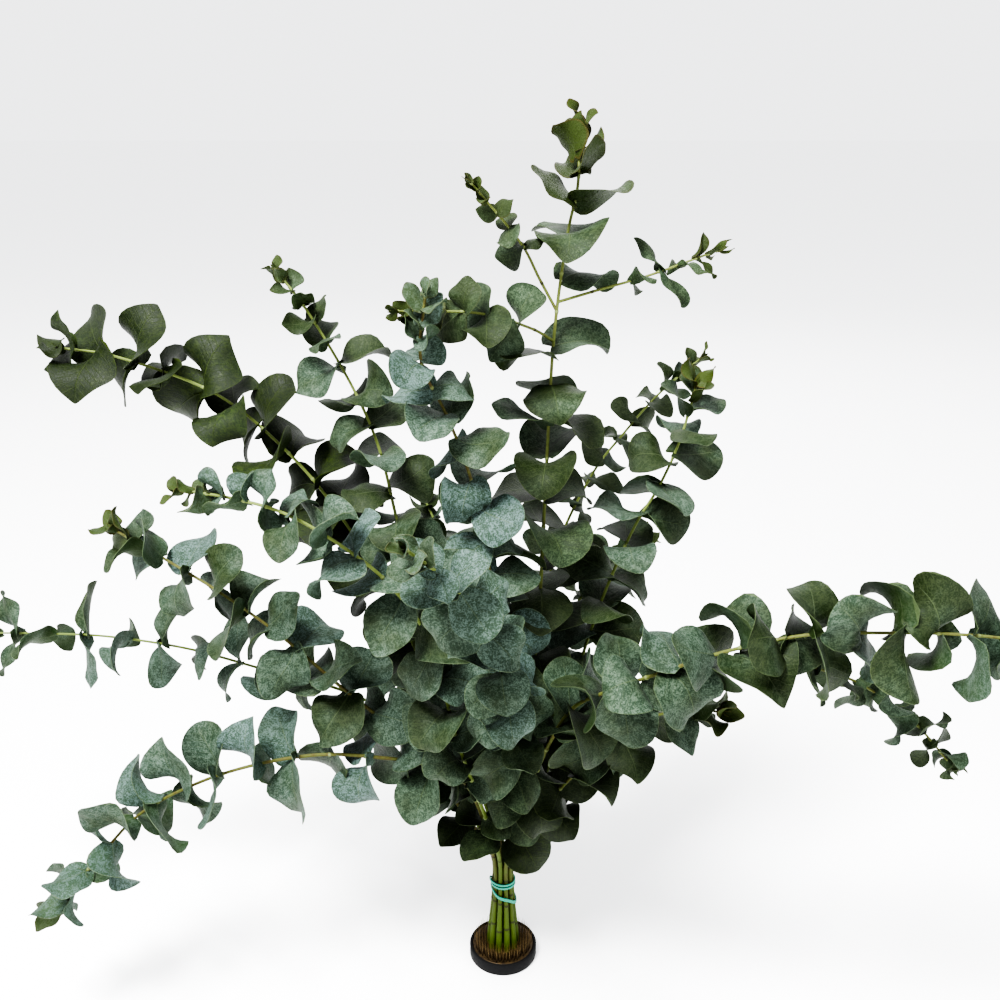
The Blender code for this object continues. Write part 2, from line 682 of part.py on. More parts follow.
def rubber_band(parts, routes, finish):
    """The band that ties the bundle: a torus of flat section, wound round three times."""
    stations = BAND_STEPS * len(BAND_COURSE)
    bpy.ops.mesh.primitive_torus_add(major_segments=stations, minor_segments=4)
    made = bpy.context.object
    made.name = made.data.name = "rubber_band"
    for collection in list(made.users_collection):
        collection.objects.unlink(made)
    parts.objects.link(made)
    made.data.materials.append(finish)
    climb, on_top, leave, down = BAND_CLIMB
    bowed = math.cos(math.pi * len(BAND_COURSE) / 4 / stations)
    for index, vert in enumerate(made.data.vertices):
        quarter = index // 4 / BAND_STEPS
        course = BAND_COURSE[int(quarter)]
        beyond = BAND_COURSE[(int(quarter) + 1) % len(BAND_COURSE)]
        share = eased(quarter % 1)
        rise = course[0] + (beyond[0] - course[0]) * share
        width = course[1] + (beyond[1] - course[1]) * share
        late = quarter if quarter > climb else quarter + len(BAND_COURSE)
        lift = BAND_LIFT * eased((late - climb) / (on_top - climb))
        lift *= 1 - eased((late - leave) / (down - leave))
        height = TIE_HEIGHT + rise
        heights = (height - width, height + width)
        reach = max(at_height(route, z).xy.length for route in routes for z in heights)
        outside = (-1, 1, 1, -1)[index % 4] * BAND_THICKNESS / 2
        upright = (-1, -1, 1, 1)[index % 4] * width / 2
        radius = (reach + STEM_RADIUS + GAP) / bowed + BAND_THICKNESS / 2 + lift + outside
        turn = math.pi * (1 + quarter / 2)
        vert.co = (radius * math.cos(turn), radius * math.sin(turn), height + upright)
    made.data.update()


def main():
    for item in list(bpy.data.objects):
        bpy.data.objects.remove(item)
    parts = gathering("eucalyptus bunch")
    routes = leafy_stems(parts, material("eucalyptus", (0.16, 0.26, 0.19), 0.65))
    pin_holder(parts, routes, material("pin holder brass", (0.30, 0.20, 0.10), 0.45, metallic=0.9))
    rubber_ring(parts, material("black rubber", (0.012, 0.012, 0.013), 0.6))
    rubber_band(parts, routes, material("teal rubber", (0.10, 0.55, 0.47), 0.5))


main()
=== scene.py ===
# %% [markdown]
# # A tied bunch of silver-dollar eucalyptus
#
# Fifteen leafy stems stand in a round pin holder, and a rubber band ties them above it.
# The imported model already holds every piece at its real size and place: the stems with
# their leaf pairs, the holder, its ring and the band. This lesson gives the bunch its
# looks. Each plain stem is swapped for round tapering wood and for leaves with waved,
# notched, veined blades, and each finish is mixed from nodes.
#
# Everything is in metres with +Z up, and the bunch is seen from -Y.

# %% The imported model
import math
import random
from dataclasses import dataclass

import bmesh
import bpy
from mathutils import Matrix, Vector
from mathutils.kdtree import KDTree


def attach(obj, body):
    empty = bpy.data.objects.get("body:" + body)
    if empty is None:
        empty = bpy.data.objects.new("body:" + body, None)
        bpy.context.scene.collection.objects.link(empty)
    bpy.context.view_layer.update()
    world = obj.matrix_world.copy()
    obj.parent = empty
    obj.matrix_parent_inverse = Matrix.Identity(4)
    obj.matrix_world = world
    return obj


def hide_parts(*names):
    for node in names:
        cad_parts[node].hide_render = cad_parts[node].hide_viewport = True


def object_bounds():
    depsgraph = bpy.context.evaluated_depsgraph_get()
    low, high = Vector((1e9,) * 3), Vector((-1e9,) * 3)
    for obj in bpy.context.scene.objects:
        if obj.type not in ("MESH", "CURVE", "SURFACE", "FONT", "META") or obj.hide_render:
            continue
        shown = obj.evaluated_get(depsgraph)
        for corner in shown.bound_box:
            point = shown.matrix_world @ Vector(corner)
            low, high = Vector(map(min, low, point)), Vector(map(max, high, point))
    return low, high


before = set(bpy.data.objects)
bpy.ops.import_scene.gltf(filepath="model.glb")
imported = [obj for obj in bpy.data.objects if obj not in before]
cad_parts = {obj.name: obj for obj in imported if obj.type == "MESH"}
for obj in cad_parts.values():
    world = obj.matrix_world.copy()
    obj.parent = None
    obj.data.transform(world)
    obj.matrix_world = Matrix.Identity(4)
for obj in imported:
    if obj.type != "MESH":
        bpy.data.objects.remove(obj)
cad_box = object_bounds()
print("the model holds", len(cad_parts), "nodes, from", cad_box[0], "to", cad_box[1])

# %% [markdown]
# ## Camera
#
# The picture was taken from a little above the bunch, looking 20 degrees down, with a lens
# that takes in about 50 degrees. The camera stands about a metre from the bunch's middle,
# straight in front of the holder. The view has the look with high contrast, because the
# usual one lays a veil over greens as deep as these.

# %% Camera
CAMERA_PLACE = (-0.003, -0.853, 0.790)
CAMERA_DOWN = math.radians(20)
CAMERA_ANGLE = math.radians(50)
LOOK = "AgX - High Contrast"

scene = bpy.context.scene
camera = bpy.data.objects.new("camera", bpy.data.cameras.new("camera"))
scene.collection.objects.link(camera)
camera.location = CAMERA_PLACE
camera.rotation_euler = (math.pi / 2 - CAMERA_DOWN, 0, 0)
camera.data.angle = CAMERA_ANGLE
scene.camera = camera
scene.view_settings.look = LOOK
print("the lens is", round(camera.data.lens, 1), "mm long")

# %% [markdown]
# ## A short way to write shaders
#
# A finish is worked out by a chain of nodes, and wiring dozens of them by hand hides the
# idea. Here a small class wraps a number that the shader works out, so that `1 - mask`
# adds a Math node, and a second class stands for a whole finish and adds any other node.

# %% Numbers that a shader works out
class Number:
    """An output of a node. Sums on it add Math nodes to its finish."""

    def __init__(self, finish, socket):
        self.finish = finish
        self.socket = socket

    def maths(self, operation, *terms):
        inputs = dict(enumerate(terms))
        made = self.finish.node("ShaderNodeMath", {"operation": operation}, inputs)
        return Number(self.finish, made.outputs[0])

    def __add__(self, other):
        return self.maths("ADD", self, other)

    def __radd__(self, other):
        return self.maths("ADD", other, self)

    def __sub__(self, other):
        return self.maths("SUBTRACT", self, other)

    def __rsub__(self, other):
        return self.maths("SUBTRACT", other, self)

    def __mul__(self, other):
        return self.maths("MULTIPLY", self, other)

    def __rmul__(self, other):
        return self.maths("MULTIPLY", other, self)

    def __truediv__(self, other):
        return self.maths("DIVIDE", self, other)

    def __abs__(self):
        return self.maths("ABSOLUTE", self)

    def rounded_steps(self, low, high):
        """0 below low and 1 above high, with a smooth step between them."""
        made = self.finish.node(
            "ShaderNodeMapRange", {"interpolation_type": "SMOOTHSTEP"},
            {"Value": self, "From Min": low, "From Max": high},
        )
        return Number(self.finish, made.outputs[0])


# %% A finish
# Where a Mix node keeps its share, its two colours and the colour that it makes.
MIX_SHARE, MIX_FIRST, MIX_SECOND, MIX_MADE = 0, 6, 7, 2


class Finish:
    """A material whose nodes are added by the calls below."""

    def __init__(self, name):
        self.material = bpy.data.materials.new(name)
        self.material.use_nodes = True
        self.tree = self.material.node_tree
        self.shader = self.tree.nodes["Principled BSDF"]

    def link(self, socket, value):
        """Sets a socket to a constant, or wires it to a number or an output."""
        if isinstance(value, Number):
            value = value.socket
        if isinstance(value, bpy.types.NodeSocket):
            self.tree.links.new(value, socket)
        elif socket.type == "RGBA":
            socket.default_value = (*value, 1)
        else:
            socket.default_value = value

    def node(self, kind, settings, inputs):
        """Adds a node: its settings first, then the values or links of its sockets."""
        made = self.tree.nodes.new(kind)
        for name, value in settings.items():
            setattr(made, name, value)
        for key, value in inputs.items():
            self.link(made.inputs[key], value)
        return made

    def place(self):
        return self.node("ShaderNodeTexCoord", {}, {}).outputs["Object"]

    def noise(self, scale, detail=2.0, rough=0.5, where=None, bent=0.0):
        made = self.node("ShaderNodeTexNoise", {}, {
            "Vector": where or self.place(), "Scale": scale, "Detail": detail,
            "Roughness": rough, "Distortion": bent,
        })
        return Number(self, made.outputs[0])

    def attribute(self, name):
        made = self.node("ShaderNodeAttribute", {"attribute_name": name}, {})
        return Number(self, made.outputs["Fac"])

    def mix(self, share, first, second, blend="MIX"):
        """One colour laid over another, where the share is 1."""
        made = self.node("ShaderNodeMix", {"data_type": "RGBA", "blend_type": blend}, {
            MIX_SHARE: share, MIX_FIRST: first, MIX_SECOND: second,
        })
        return made.outputs[MIX_MADE]

    def raised(self, height, depth, strength=1.0):
        """Small relief: the height, 0 to 1, stands for so many metres."""
        bump = self.node("ShaderNodeBump", {}, {
            "Height": height, "Distance": depth, "Strength": strength,
        })
        self.link(self.shader.inputs["Normal"], bump.outputs[0])

    def set(self, **sockets):
        """Sets the main sockets, named in small letters."""
        for name, value in sockets.items():
            title = name.replace("_", " ").title().replace("Ior", "IOR")
            self.link(self.shader.inputs[title], value)
        return self


print("finishes can be mixed")

# %% [markdown]
# ## Floor and light
#
# The bunch stands on a plain pale floor under soft light. One large lamp hangs above and in
# front, a little to the left, where a window would be. Two weaker ones light the right side
# and the back, and a pale sky lights the rest, so that the inside of the bunch goes dark by
# itself. The floor lies a hair below the holder, so that the two don't flicker where they
# touch.

# %% Floor
FLOOR_REACH = 30.0
FLOOR_DROP = 0.0004
FLOOR_WHITE = (0.955, 0.955, 0.955)


def mesh_object(name, bm, *finishes):
    """A new object that holds a bmesh, which is freed, with its finishes in their slots."""
    mesh = bpy.data.meshes.new(name)
    bm.to_mesh(mesh)
    bm.free()
    made = bpy.data.objects.new(name, mesh)
    scene.collection.objects.link(made)
    for finish in finishes:
        mesh.materials.append(finish.material)
    mesh.shade_smooth()
    return made


bm = bmesh.new()
bmesh.ops.create_grid(bm, x_segments=1, y_segments=1, size=FLOOR_REACH)
bmesh.ops.translate(bm, verts=bm.verts, vec=(0, 0, -FLOOR_DROP))
floor_finish = Finish("pale floor")
floor_finish.set(base_color=FLOOR_WHITE, roughness=1.0, specular_ior_level=0.0)
floor = mesh_object("floor", bm, floor_finish)
print("the floor is", 2 * FLOOR_REACH, "m wide")

# %% Light
SKY = (0.97, 0.98, 1.0)
SKY_STRENGTH = 1.75
# Each lamp: its place, the width of its square, and its power in watts.
LAMPS = {
    "key": ((-0.8, -1.1, 2.7), 0.9, 300),
    "fill": ((2.2, -1.6, 1.5), 1.8, 25),
    "back": ((0.4, 2.4, 2.2), 1.8, 38),
}
LAMP_AIM = Vector((0, 0, 0.35))

world = bpy.data.worlds.new("sky")
world.use_nodes = True
world.node_tree.nodes["Background"].inputs[0].default_value = (*SKY, 1)
world.node_tree.nodes["Background"].inputs[1].default_value = SKY_STRENGTH
scene.world = world
for name, (place, width, power) in LAMPS.items():
    lamp = bpy.data.objects.new(name, bpy.data.lights.new(name, "AREA"))
    scene.collection.objects.link(lamp)
    lamp.data.size = width
    lamp.data.energy = power
    lamp.location = place
    lamp.rotation_euler = (LAMP_AIM - Vector(place)).to_track_quat("-Z", "Y").to_euler()
print("lamps:", ", ".join(LAMPS))

# %% [markdown]
# ## How a stem runs
#
# A stem is a smooth curve. It starts at its foot on the pins, passes its own place in the
# tie, spreads to the neck, and from there arches outwards through points of its own. The
# model's stems follow these same curves, so the curves are repeated here, and the finer
# wood and leaves land exactly where the model's are.

# %% Where the stems stand in the tie
STEM_RADIUS = 0.0023
SLIMMEST_TWIG = 0.0009
INNER_COUNT, INNER_RADIUS, INNER_TURN = 5, 0.0041, 18
OUTER_COUNT, OUTER_RADIUS, OUTER_TURN = 10, 0.0085, 0
FOOT_HEIGHT = 0.0118
FOOT_SPREAD = 1.55
TIE_HEIGHT = 0.084
NECK_HEIGHT = 0.118
NECK_SPREAD = 1.28


def bundle_place(place):
    """Where a stem stands across the bundle at the tie: inner places first, then outer."""
    if place < INNER_COUNT:
        turn = math.radians(INNER_TURN + place * 360 / INNER_COUNT)
        return Vector((math.cos(turn), math.sin(turn), 0)) * INNER_RADIUS
    turn = math.radians(OUTER_TURN + (place - INNER_COUNT) * 360 / OUTER_COUNT)
    return Vector((math.cos(turn), math.sin(turn), 0)) * OUTER_RADIUS


print("the tie holds", INNER_COUNT + OUTER_COUNT, "stems")


# %% A run of wood
@dataclass
class Spray:
    """A run of wood with leaf pairs: the points that it passes, and how it is leaved."""

    points: list
    leaf: float  # how long a grown leaf is
    spacing: float  # how far apart grown pairs sit
    bare: float  # how much of the wood has no leaves
    shrink: float  # over what length the leaves shrink to the tip
    turn: float = 0  # of the first pair, in degrees
    slim: float = 1.0  # how wide a leaf is, against the usual
    tip: float = 0.30  # how long the last leaf is, against a grown one
    facing: tuple = (0.55, 1.0)  # how far leaves roll towards the light
    wood: tuple = (STEM_RADIUS, 0.0011)  # how thick the wood is, at its foot and its tip


def stem(place, points, **leaves):
    """A whole stem: its foot, the tie and the neck above it come before its own points."""
    across = bundle_place(place)
    foot = across * FOOT_SPREAD + Vector((0, 0, FOOT_HEIGHT))
    tie = across + Vector((0, 0, TIE_HEIGHT))
    neck = across * NECK_SPREAD + Vector((0, 0, NECK_HEIGHT))
    return Spray([foot, tie, neck, *map(Vector, points)], **leaves)


def twig(parent, start, points, **leaves):
    """A side shoot that grows out of its parent, start metres along it."""
    root = Route(parent).at(start)[0]
    leaves.setdefault("wood", (0.0013, SLIMMEST_TWIG))
    return Spray([root, *map(Vector, points)], **leaves)


# %% The curve through its points
class Route:
    """A smooth curve through a spray's points, with a frame that turns no more than it must."""

    STEPS = 14

    def __init__(self, spray):
        ends = spray.points
        before = ends[0] * 2 - ends[1]
        after = ends[-1] * 2 - ends[-2]
        knots = [before, *ends, after]
        self.points = []
        for a, b, c, d in zip(knots, knots[1:], knots[2:], knots[3:]):
            for step in range(self.STEPS):
                t = step / self.STEPS
                self.points.append(
                    0.5 * (2 * b + (c - a) * t + (2 * a - 5 * b + 4 * c - d) * t**2
                           + (3 * b - a - 3 * c + d) * t**3)
                )
        self.points.append(ends[-1])
        self.far = [0.0]
        for a, b in zip(self.points, self.points[1:]):
            self.far.append(self.far[-1] + (b - a).length)
        self.length = self.far[-1]
        last = len(self.points) - 1
        self.along = [
            (self.points[min(i + 1, last)] - self.points[max(i - 1, 0)]).normalized()
            for i in range(last + 1)
        ]
        side = Vector((1, 0, 0))
        self.side = []
        for tangent in self.along:
            side = (side - tangent * side.dot(tangent)).normalized()
            self.side.append(side)

    def at(self, distance):
        """The point, the direction and the side direction at a distance from the start."""
        distance = min(max(distance, 0.0), self.length)
        i = 0
        while i < len(self.far) - 2 and self.far[i + 1] < distance:
            i += 1
        t = (distance - self.far[i]) / (self.far[i + 1] - self.far[i])
        tangent = self.along[i].lerp(self.along[i + 1], t).normalized()
        side = self.side[i].lerp(self.side[i + 1], t)
        side = (side - tangent * side.dot(tangent)).normalized()
        return self.points[i].lerp(self.points[i + 1], t), tangent, side

    def radius(self, distance, wood):
        return wood[0] + (wood[1] - wood[0]) * (distance / self.length) ** 0.8


# %% [markdown]
# ## How a leaf lies
#
# Silver-dollar leaves sit in pairs, with no stalk, and each pair is turned a quarter
# against the next. A blade leaves the stem at a tilt, droops along an arc, and rolls at its
# base until it faces the light. The model draws these habits for every leaf from a
# seeded random number, so the same draws give the same leaf here.

# %% One leaf
LIGHT = Vector((0.05, -0.78, 0.62)).normalized()
MOST_ROLL = 80
MORE_DROOP = 40
# What is drawn for each leaf, and how the young leaves differ: slimmer, steeper and lifted.
LENGTHS, WIDTHS = (0.90, 1.08), (0.94, 1.06)
YOUNG_WIDTH, WIDTH_GAINED = 0.74, 0.28
TURNS, TWISTS = (-18, 18), (-35, 35)
TILT, YOUNG_TILT, TILTS = 14, 40, (-16, 20)
DROOPS, YOUNG_LIFT = (-10, 75), 18
CUPS, WAVES = (-0.14, 0.24), (-0.08, 0.08)
# The powers of the outline's rise and fall, and what brings its peak to 1.
BASE_POWER, TIP_POWER, WIDEST = 0.5, 0.75, 2.319


class Leaf:
    """One leaf of a pair: where it grows, how it points, and how its blade bends."""

    def __init__(self, spray, route, distance, pair, half, key):
        self.key = f"{key} {pair} {half}"
        draw = random.Random(self.key)
        shared = random.Random(f"{key} {pair}")
        grown = min(1.0, (route.length - distance) / spray.shrink)
        self.grown = grown
        self.point, self.tangent, self.side = route.at(distance)
        self.corner = (pair + 2 * half) % 4
        size = spray.tip + (1 - spray.tip) * grown**0.8
        self.length = spray.leaf * size * draw.uniform(*LENGTHS)
        broad = YOUNG_WIDTH + WIDTH_GAINED * grown
        self.width = self.length * spray.slim * broad * draw.uniform(*WIDTHS)
        self.turn = spray.turn + 90 * self.corner + shared.uniform(*TURNS)
        self.tilt = TILT + YOUNG_TILT * (1 - grown) + draw.uniform(*TILTS)
        self.droop = draw.uniform(*DROOPS) * grown - YOUNG_LIFT * (1 - grown)
        self.twist = draw.uniform(*TWISTS)
        across, along, up = self.axes()
        self.droop += MORE_DROOP * grown * max(LIGHT.dot(along), 0.0)
        roll = math.degrees(math.atan2(-LIGHT.dot(across), LIGHT.dot(up)))
        self.roll = max(-MOST_ROLL, min(MOST_ROLL, roll)) * draw.uniform(*spray.facing)
        self.cup = draw.uniform(*CUPS)
        self.wave = draw.uniform(*WAVES)

    def fitted(self, fit):
        """The same leaf turned, tilted, shrunk and unrolled by one of the FITS."""
        turn, tilt, size, roll = fit
        other = object.__new__(Leaf)
        other.__dict__.update(self.__dict__)
        other.turn += turn
        other.tilt += tilt
        other.length *= size
        other.width *= size
        other.roll *= roll
        other.twist *= roll
        return other

    def half_width(self, u):
        """Half the blade's width: it is round, and widest at two fifths of its length."""
        rise, fall = max(u, 0.0) ** BASE_POWER, max(1 - u, 0.0) ** TIP_POWER
        return self.width / 2 * WIDEST * rise * fall

    def axes(self):
        """Across, along and up from the blade where it leaves the stem."""
        turn, tilt = math.radians(self.turn), math.radians(self.tilt)
        other = self.tangent.cross(self.side)
        out = self.side * math.cos(turn) + other * math.sin(turn)
        along = out * math.cos(tilt) + self.tangent * math.sin(tilt)
        up = self.tangent * math.cos(tilt) - out * math.sin(tilt)
        return along.cross(up), along, up

    def lean(self, u):
        """How far the blade is rolled there: most of the way near its base."""
        return math.radians(self.roll * (1 - (1 - u) ** 3) + self.twist * u)

    def rolled(self):
        """Across and up from the blade once it has rolled."""
        across, _, up = self.axes()
        roll = math.radians(self.roll)
        return (across * math.cos(roll) + up * math.sin(roll),
                up * math.cos(roll) - across * math.sin(roll))

    def facing(self, u):
        """Across the blade and out of its upper face, at share u of its length."""
        level, above = self.rolled()
        bend = math.radians(self.droop) * u
        raised = above * math.cos(bend) + self.axes()[1] * math.sin(bend)
        late = self.lean(u) - math.radians(self.roll)
        return (level * math.cos(late) + raised * math.sin(late),
                raised * math.cos(late) - level * math.sin(late))

    def blade(self, u, x, lift=0.0):
        """The point at share u of the length, x metres across, and lifted off the blade."""
        full = math.radians(self.droop) or 1e-6
        run = self.length * math.sin(full * u) / full
        fall = self.length * (1 - math.cos(full * u)) / full
        middle = self.point + self.axes()[1] * run - self.rolled()[1] * fall
        lift += self.cup * u * x * x / (self.width / 2)
        lift += self.wave * x * math.sin(2 * math.pi * u)
        across, out = self.facing(max(u, 0.0))
        return middle + across * x + out * lift


# %% The pairs along a stem
LEAST_SPACING = 0.34


def leaves_of(spray, route, key):
    """The leaf pairs from the tip down, closer and smaller at the tip, with their distances."""
    distance, pair = route.length - 0.001, 0
    while distance > spray.bare:
        yield distance, [Leaf(spray, route, distance, pair, half, key) for half in (0, 1)]
        grown = min(1.0, (route.length - distance) / spray.shrink)
        distance -= spray.spacing * (LEAST_SPACING + (1 - LEAST_SPACING) * grown)
        pair += 1


# %% [markdown]
# ## The fifteen stems
#
# Each stem is written down as its place in the tie, the points it passes, in metres, and how
# it is leaved. The points follow the picture, and their depth is a guess.

# %% The tall stem and the left side
def left_side():
    tall = stem(
        0, [(0.018, -0.004, 0.225), (0.030, -0.010, 0.365), (0.035, -0.010, 0.500),
            (0.040, 0.000, 0.615), (0.050, 0.015, 0.695), (0.058, 0.020, 0.735),
            (0.059, 0.033, 0.780)],
        leaf=0.056, spacing=0.030, bare=0.25, shrink=0.08, turn=8, tip=0.45, facing=(0.0, 0.35),
    )
    yield "stem_tall", [
        tall,
        twig(tall, 0.606,
             [(0.020, -0.020, 0.630), (-0.020, -0.040, 0.645), (-0.080, -0.060, 0.650)],
             leaf=0.038, spacing=0.024, bare=0.03, shrink=0.06, turn=30),
        twig(tall, 0.630, [(0.028, 0.000, 0.665), (0.012, -0.010, 0.695), (-0.025, -0.030, 0.740)],
             leaf=0.031, spacing=0.023, bare=0.04, shrink=0.06, turn=70, tip=0.4),
        twig(tall, 0.637, [(0.077, 0.010, 0.655), (0.118, 0.020, 0.665), (0.175, 0.040, 0.682)],
             leaf=0.038, spacing=0.024, bare=0.04, shrink=0.05, turn=10, slim=0.6, tip=0.45),
    ]
    yield "stem_upper_left", [
        stem(1, [(-0.008, 0.012, 0.160), (-0.030, 0.010, 0.227), (-0.062, 0.020, 0.337),
                 (-0.091, 0.030, 0.437), (-0.108, 0.045, 0.508), (-0.131, 0.060, 0.561),
                 (-0.167, 0.070, 0.624), (-0.195, 0.080, 0.660)],
             leaf=0.050, spacing=0.029, bare=0.14, shrink=0.10, turn=20, tip=0.4,
             facing=(0.3, 0.9)),
    ]
    yield "stem_far_left", [
        stem(2, [(-0.022, 0.016, 0.179), (-0.068, 0.030, 0.290), (-0.112, 0.040, 0.387),
                 (-0.154, 0.050, 0.458), (-0.198, 0.055, 0.512), (-0.254, 0.060, 0.558),
                 (-0.333, 0.060, 0.589), (-0.380, 0.056, 0.598)],
             leaf=0.058, spacing=0.031, bare=0.16, shrink=0.03, turn=65, tip=0.65,
             facing=(0.85, 1.0)),
    ]
    yield "stem_mid_left", [
        stem(12, [(-0.010, -0.034, 0.165), (-0.024, -0.060, 0.230), (-0.040, -0.080, 0.300),
                  (-0.058, -0.098, 0.395), (-0.086, -0.115, 0.453), (-0.120, -0.122, 0.488),
                  (-0.161, -0.118, 0.512), (-0.201, -0.110, 0.521), (-0.242, -0.100, 0.524)],
             leaf=0.048, spacing=0.029, bare=0.11, shrink=0.12, turn=60, tip=0.35),
    ]
    yield "stem_left", [
        stem(10, [(-0.031, -0.008, 0.160), (-0.067, -0.020, 0.231), (-0.097, -0.030, 0.274),
                  (-0.142, -0.035, 0.321), (-0.191, -0.030, 0.367), (-0.241, -0.020, 0.402),
                  (-0.287, -0.010, 0.428), (-0.332, 0.000, 0.452)],
             leaf=0.048, spacing=0.030, bare=0.14, shrink=0.06, turn=60, tip=0.45,
             facing=(0.7, 1.0)),
    ]
    yield "stem_thin_left", [
        stem(9, [(-0.022, 0.010, 0.138), (-0.051, 0.020, 0.195), (-0.098, 0.035, 0.243),
                 (-0.156, 0.050, 0.268), (-0.228, 0.055, 0.287), (-0.302, 0.060, 0.307),
                 (-0.378, 0.060, 0.320), (-0.445, 0.060, 0.323), (-0.490, 0.055, 0.326)],
             leaf=0.050, spacing=0.036, bare=0.15, shrink=0.05, turn=5, slim=0.6, tip=0.6,
             wood=(STEM_RADIUS, SLIMMEST_TWIG)),
    ]
    yield "stem_low_left", [
        stem(11, [(-0.016, -0.022, 0.165), (-0.035, -0.038, 0.225), (-0.070, -0.050, 0.252),
                  (-0.111, -0.055, 0.262), (-0.156, -0.060, 0.268), (-0.210, -0.065, 0.262),
                  (-0.263, -0.070, 0.246), (-0.313, -0.075, 0.219), (-0.353, -0.080, 0.177),
                  (-0.395, -0.085, 0.128)],
             leaf=0.050, spacing=0.031, bare=0.13, shrink=0.05, turn=70, slim=0.9, tip=0.5,
             facing=(0.7, 1.0)),
    ]


# %% The front, the right side and the back
def right_side():
    yield "stem_front", [
        stem(4, [(0.008, -0.024, 0.165), (0.011, -0.050, 0.220), (0.009, -0.085, 0.293),
                 (0.001, -0.125, 0.369), (-0.010, -0.165, 0.433), (-0.032, -0.212, 0.495),
                 (-0.060, -0.252, 0.539)],
             leaf=0.045, spacing=0.028, bare=0.17, shrink=0.08, turn=25, tip=0.4,
             facing=(0.2, 0.9)),
    ]
    yield "stem_upright", [
        stem(3, [(-0.004, -0.012, 0.200), (-0.006, -0.032, 0.290), (-0.005, -0.050, 0.373),
                 (-0.017, -0.060, 0.479), (-0.029, -0.060, 0.530), (-0.045, -0.060, 0.573),
                 (-0.062, -0.067, 0.615), (-0.057, -0.075, 0.664)],
             leaf=0.048, spacing=0.028, bare=0.22, shrink=0.09, turn=60, tip=0.35,
             facing=(0.3, 1.0)),
    ]
    yield "stem_right_up", [
        stem(5, [(0.038, 0.002, 0.200), (0.067, 0.000, 0.318), (0.090, 0.005, 0.394),
                 (0.114, 0.010, 0.453), (0.133, 0.016, 0.485), (0.150, 0.022, 0.525),
                 (0.163, 0.030, 0.573)],
             leaf=0.048, spacing=0.029, bare=0.18, shrink=0.06, turn=5, tip=0.45,
             facing=(0.3, 0.9)),
    ]
    yield "stem_right_back", [
        stem(6, [(0.022, 0.022, 0.185), (0.028, 0.034, 0.275), (0.047, 0.070, 0.394),
                 (0.082, 0.100, 0.466), (0.114, 0.120, 0.503), (0.149, 0.140, 0.537),
                 (0.190, 0.158, 0.567)],
             leaf=0.036, spacing=0.025, bare=0.20, shrink=0.08, turn=30, slim=0.75, tip=0.4,
             wood=(STEM_RADIUS, SLIMMEST_TWIG)),
    ]
    right = stem(
        13, [(0.012, -0.026, 0.160), (0.024, -0.044, 0.225), (0.052, -0.070, 0.312),
             (0.081, -0.090, 0.346), (0.119, -0.115, 0.377), (0.165, -0.140, 0.410),
             (0.217, -0.160, 0.434), (0.268, -0.170, 0.441), (0.326, -0.175, 0.442),
             (0.388, -0.180, 0.437)],
        leaf=0.057, spacing=0.028, bare=0.15, shrink=0.03, turn=25, tip=0.7, facing=(0.85, 1.0),
    )
    yield "stem_right", [
        right,
        twig(right, 0.500, [(0.240, -0.130, 0.390), (0.279, -0.120, 0.370), (0.324, -0.115, 0.335),
                            (0.362, -0.115, 0.292)],
             leaf=0.036, spacing=0.024, bare=0.05, shrink=0.06, turn=20, slim=0.75, tip=0.4),
    ]
    yield "stem_low_right", [
        stem(14, [(0.028, -0.022, 0.165), (0.050, -0.036, 0.215), (0.077, -0.048, 0.255),
                  (0.102, -0.060, 0.288), (0.125, -0.068, 0.310), (0.155, -0.076, 0.323),
                  (0.178, -0.085, 0.325)],
             leaf=0.050, spacing=0.029, bare=0.115, shrink=0.06, turn=30, tip=0.45),
    ]
    yield "stem_back_right", [
        stem(7, [(0.012, 0.040, 0.165), (0.034, 0.085, 0.245), (0.070, 0.140, 0.305),
                 (0.112, 0.190, 0.340), (0.160, 0.235, 0.352)],
             leaf=0.048, spacing=0.029, bare=0.12, shrink=0.06, turn=15),
    ]
    yield "stem_back_left", [
        stem(8, [(-0.012, 0.044, 0.165), (-0.024, 0.095, 0.255), (-0.046, 0.155, 0.330),
                 (-0.072, 0.215, 0.375), (-0.088, 0.250, 0.395)],
             leaf=0.048, spacing=0.029, bare=0.13, shrink=0.07, turn=45),
    ]


bunch = {**dict(left_side()), **dict(right_side())}
print(len(bunch), "stems,", sum(len(sprays) - 1 for sprays in bunch.values()), "twigs")

# %% [markdown]
# ## Which leaves the model kept
#
# Where a leaf would have crossed another, the model turned, tilted or shrank it by one of a
# few ways, or left it out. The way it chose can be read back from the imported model: each
# way puts the corners of the leaf's tip and of its first row somewhere else, and only the
# chosen one has them among the node's own corners.

# %% Reading the ways back
FITS = (
    (0, 0, 1.0, 1.0), (0, 0, 1.0, 0.7), (14, 0, 1.0, 1.0), (-14, 0, 1.0, 1.0),
    (0, 14, 1.0, 0.8), (0, -14, 1.0, 0.8), (0, 0, 1.0, 0.35), (26, 8, 0.95, 0.8),
    (-26, 8, 0.95, 0.8), (26, -12, 0.95, 0.6), (-26, -12, 0.95, 0.6), (0, 24, 0.85, 0.6),
    (0, -24, 0.85, 0.6), (38, 0, 0.85, 0.6), (-38, 0, 0.85, 0.6), (0, 0, 0.7, 0.3),
    (20, 20, 0.7, 0.3), (-20, 20, 0.7, 0.3), (20, -20, 0.7, 0.3), (-20, -20, 0.7, 0.3),
)
FIRST_ROWS = {True: 0.20, False: 0.42}
SMALL_LEAF = 0.026
OUTLINE_SWELL = 1.06
LEAF_THICKNESS = 0.0006
SAME_PLACE = 0.00003


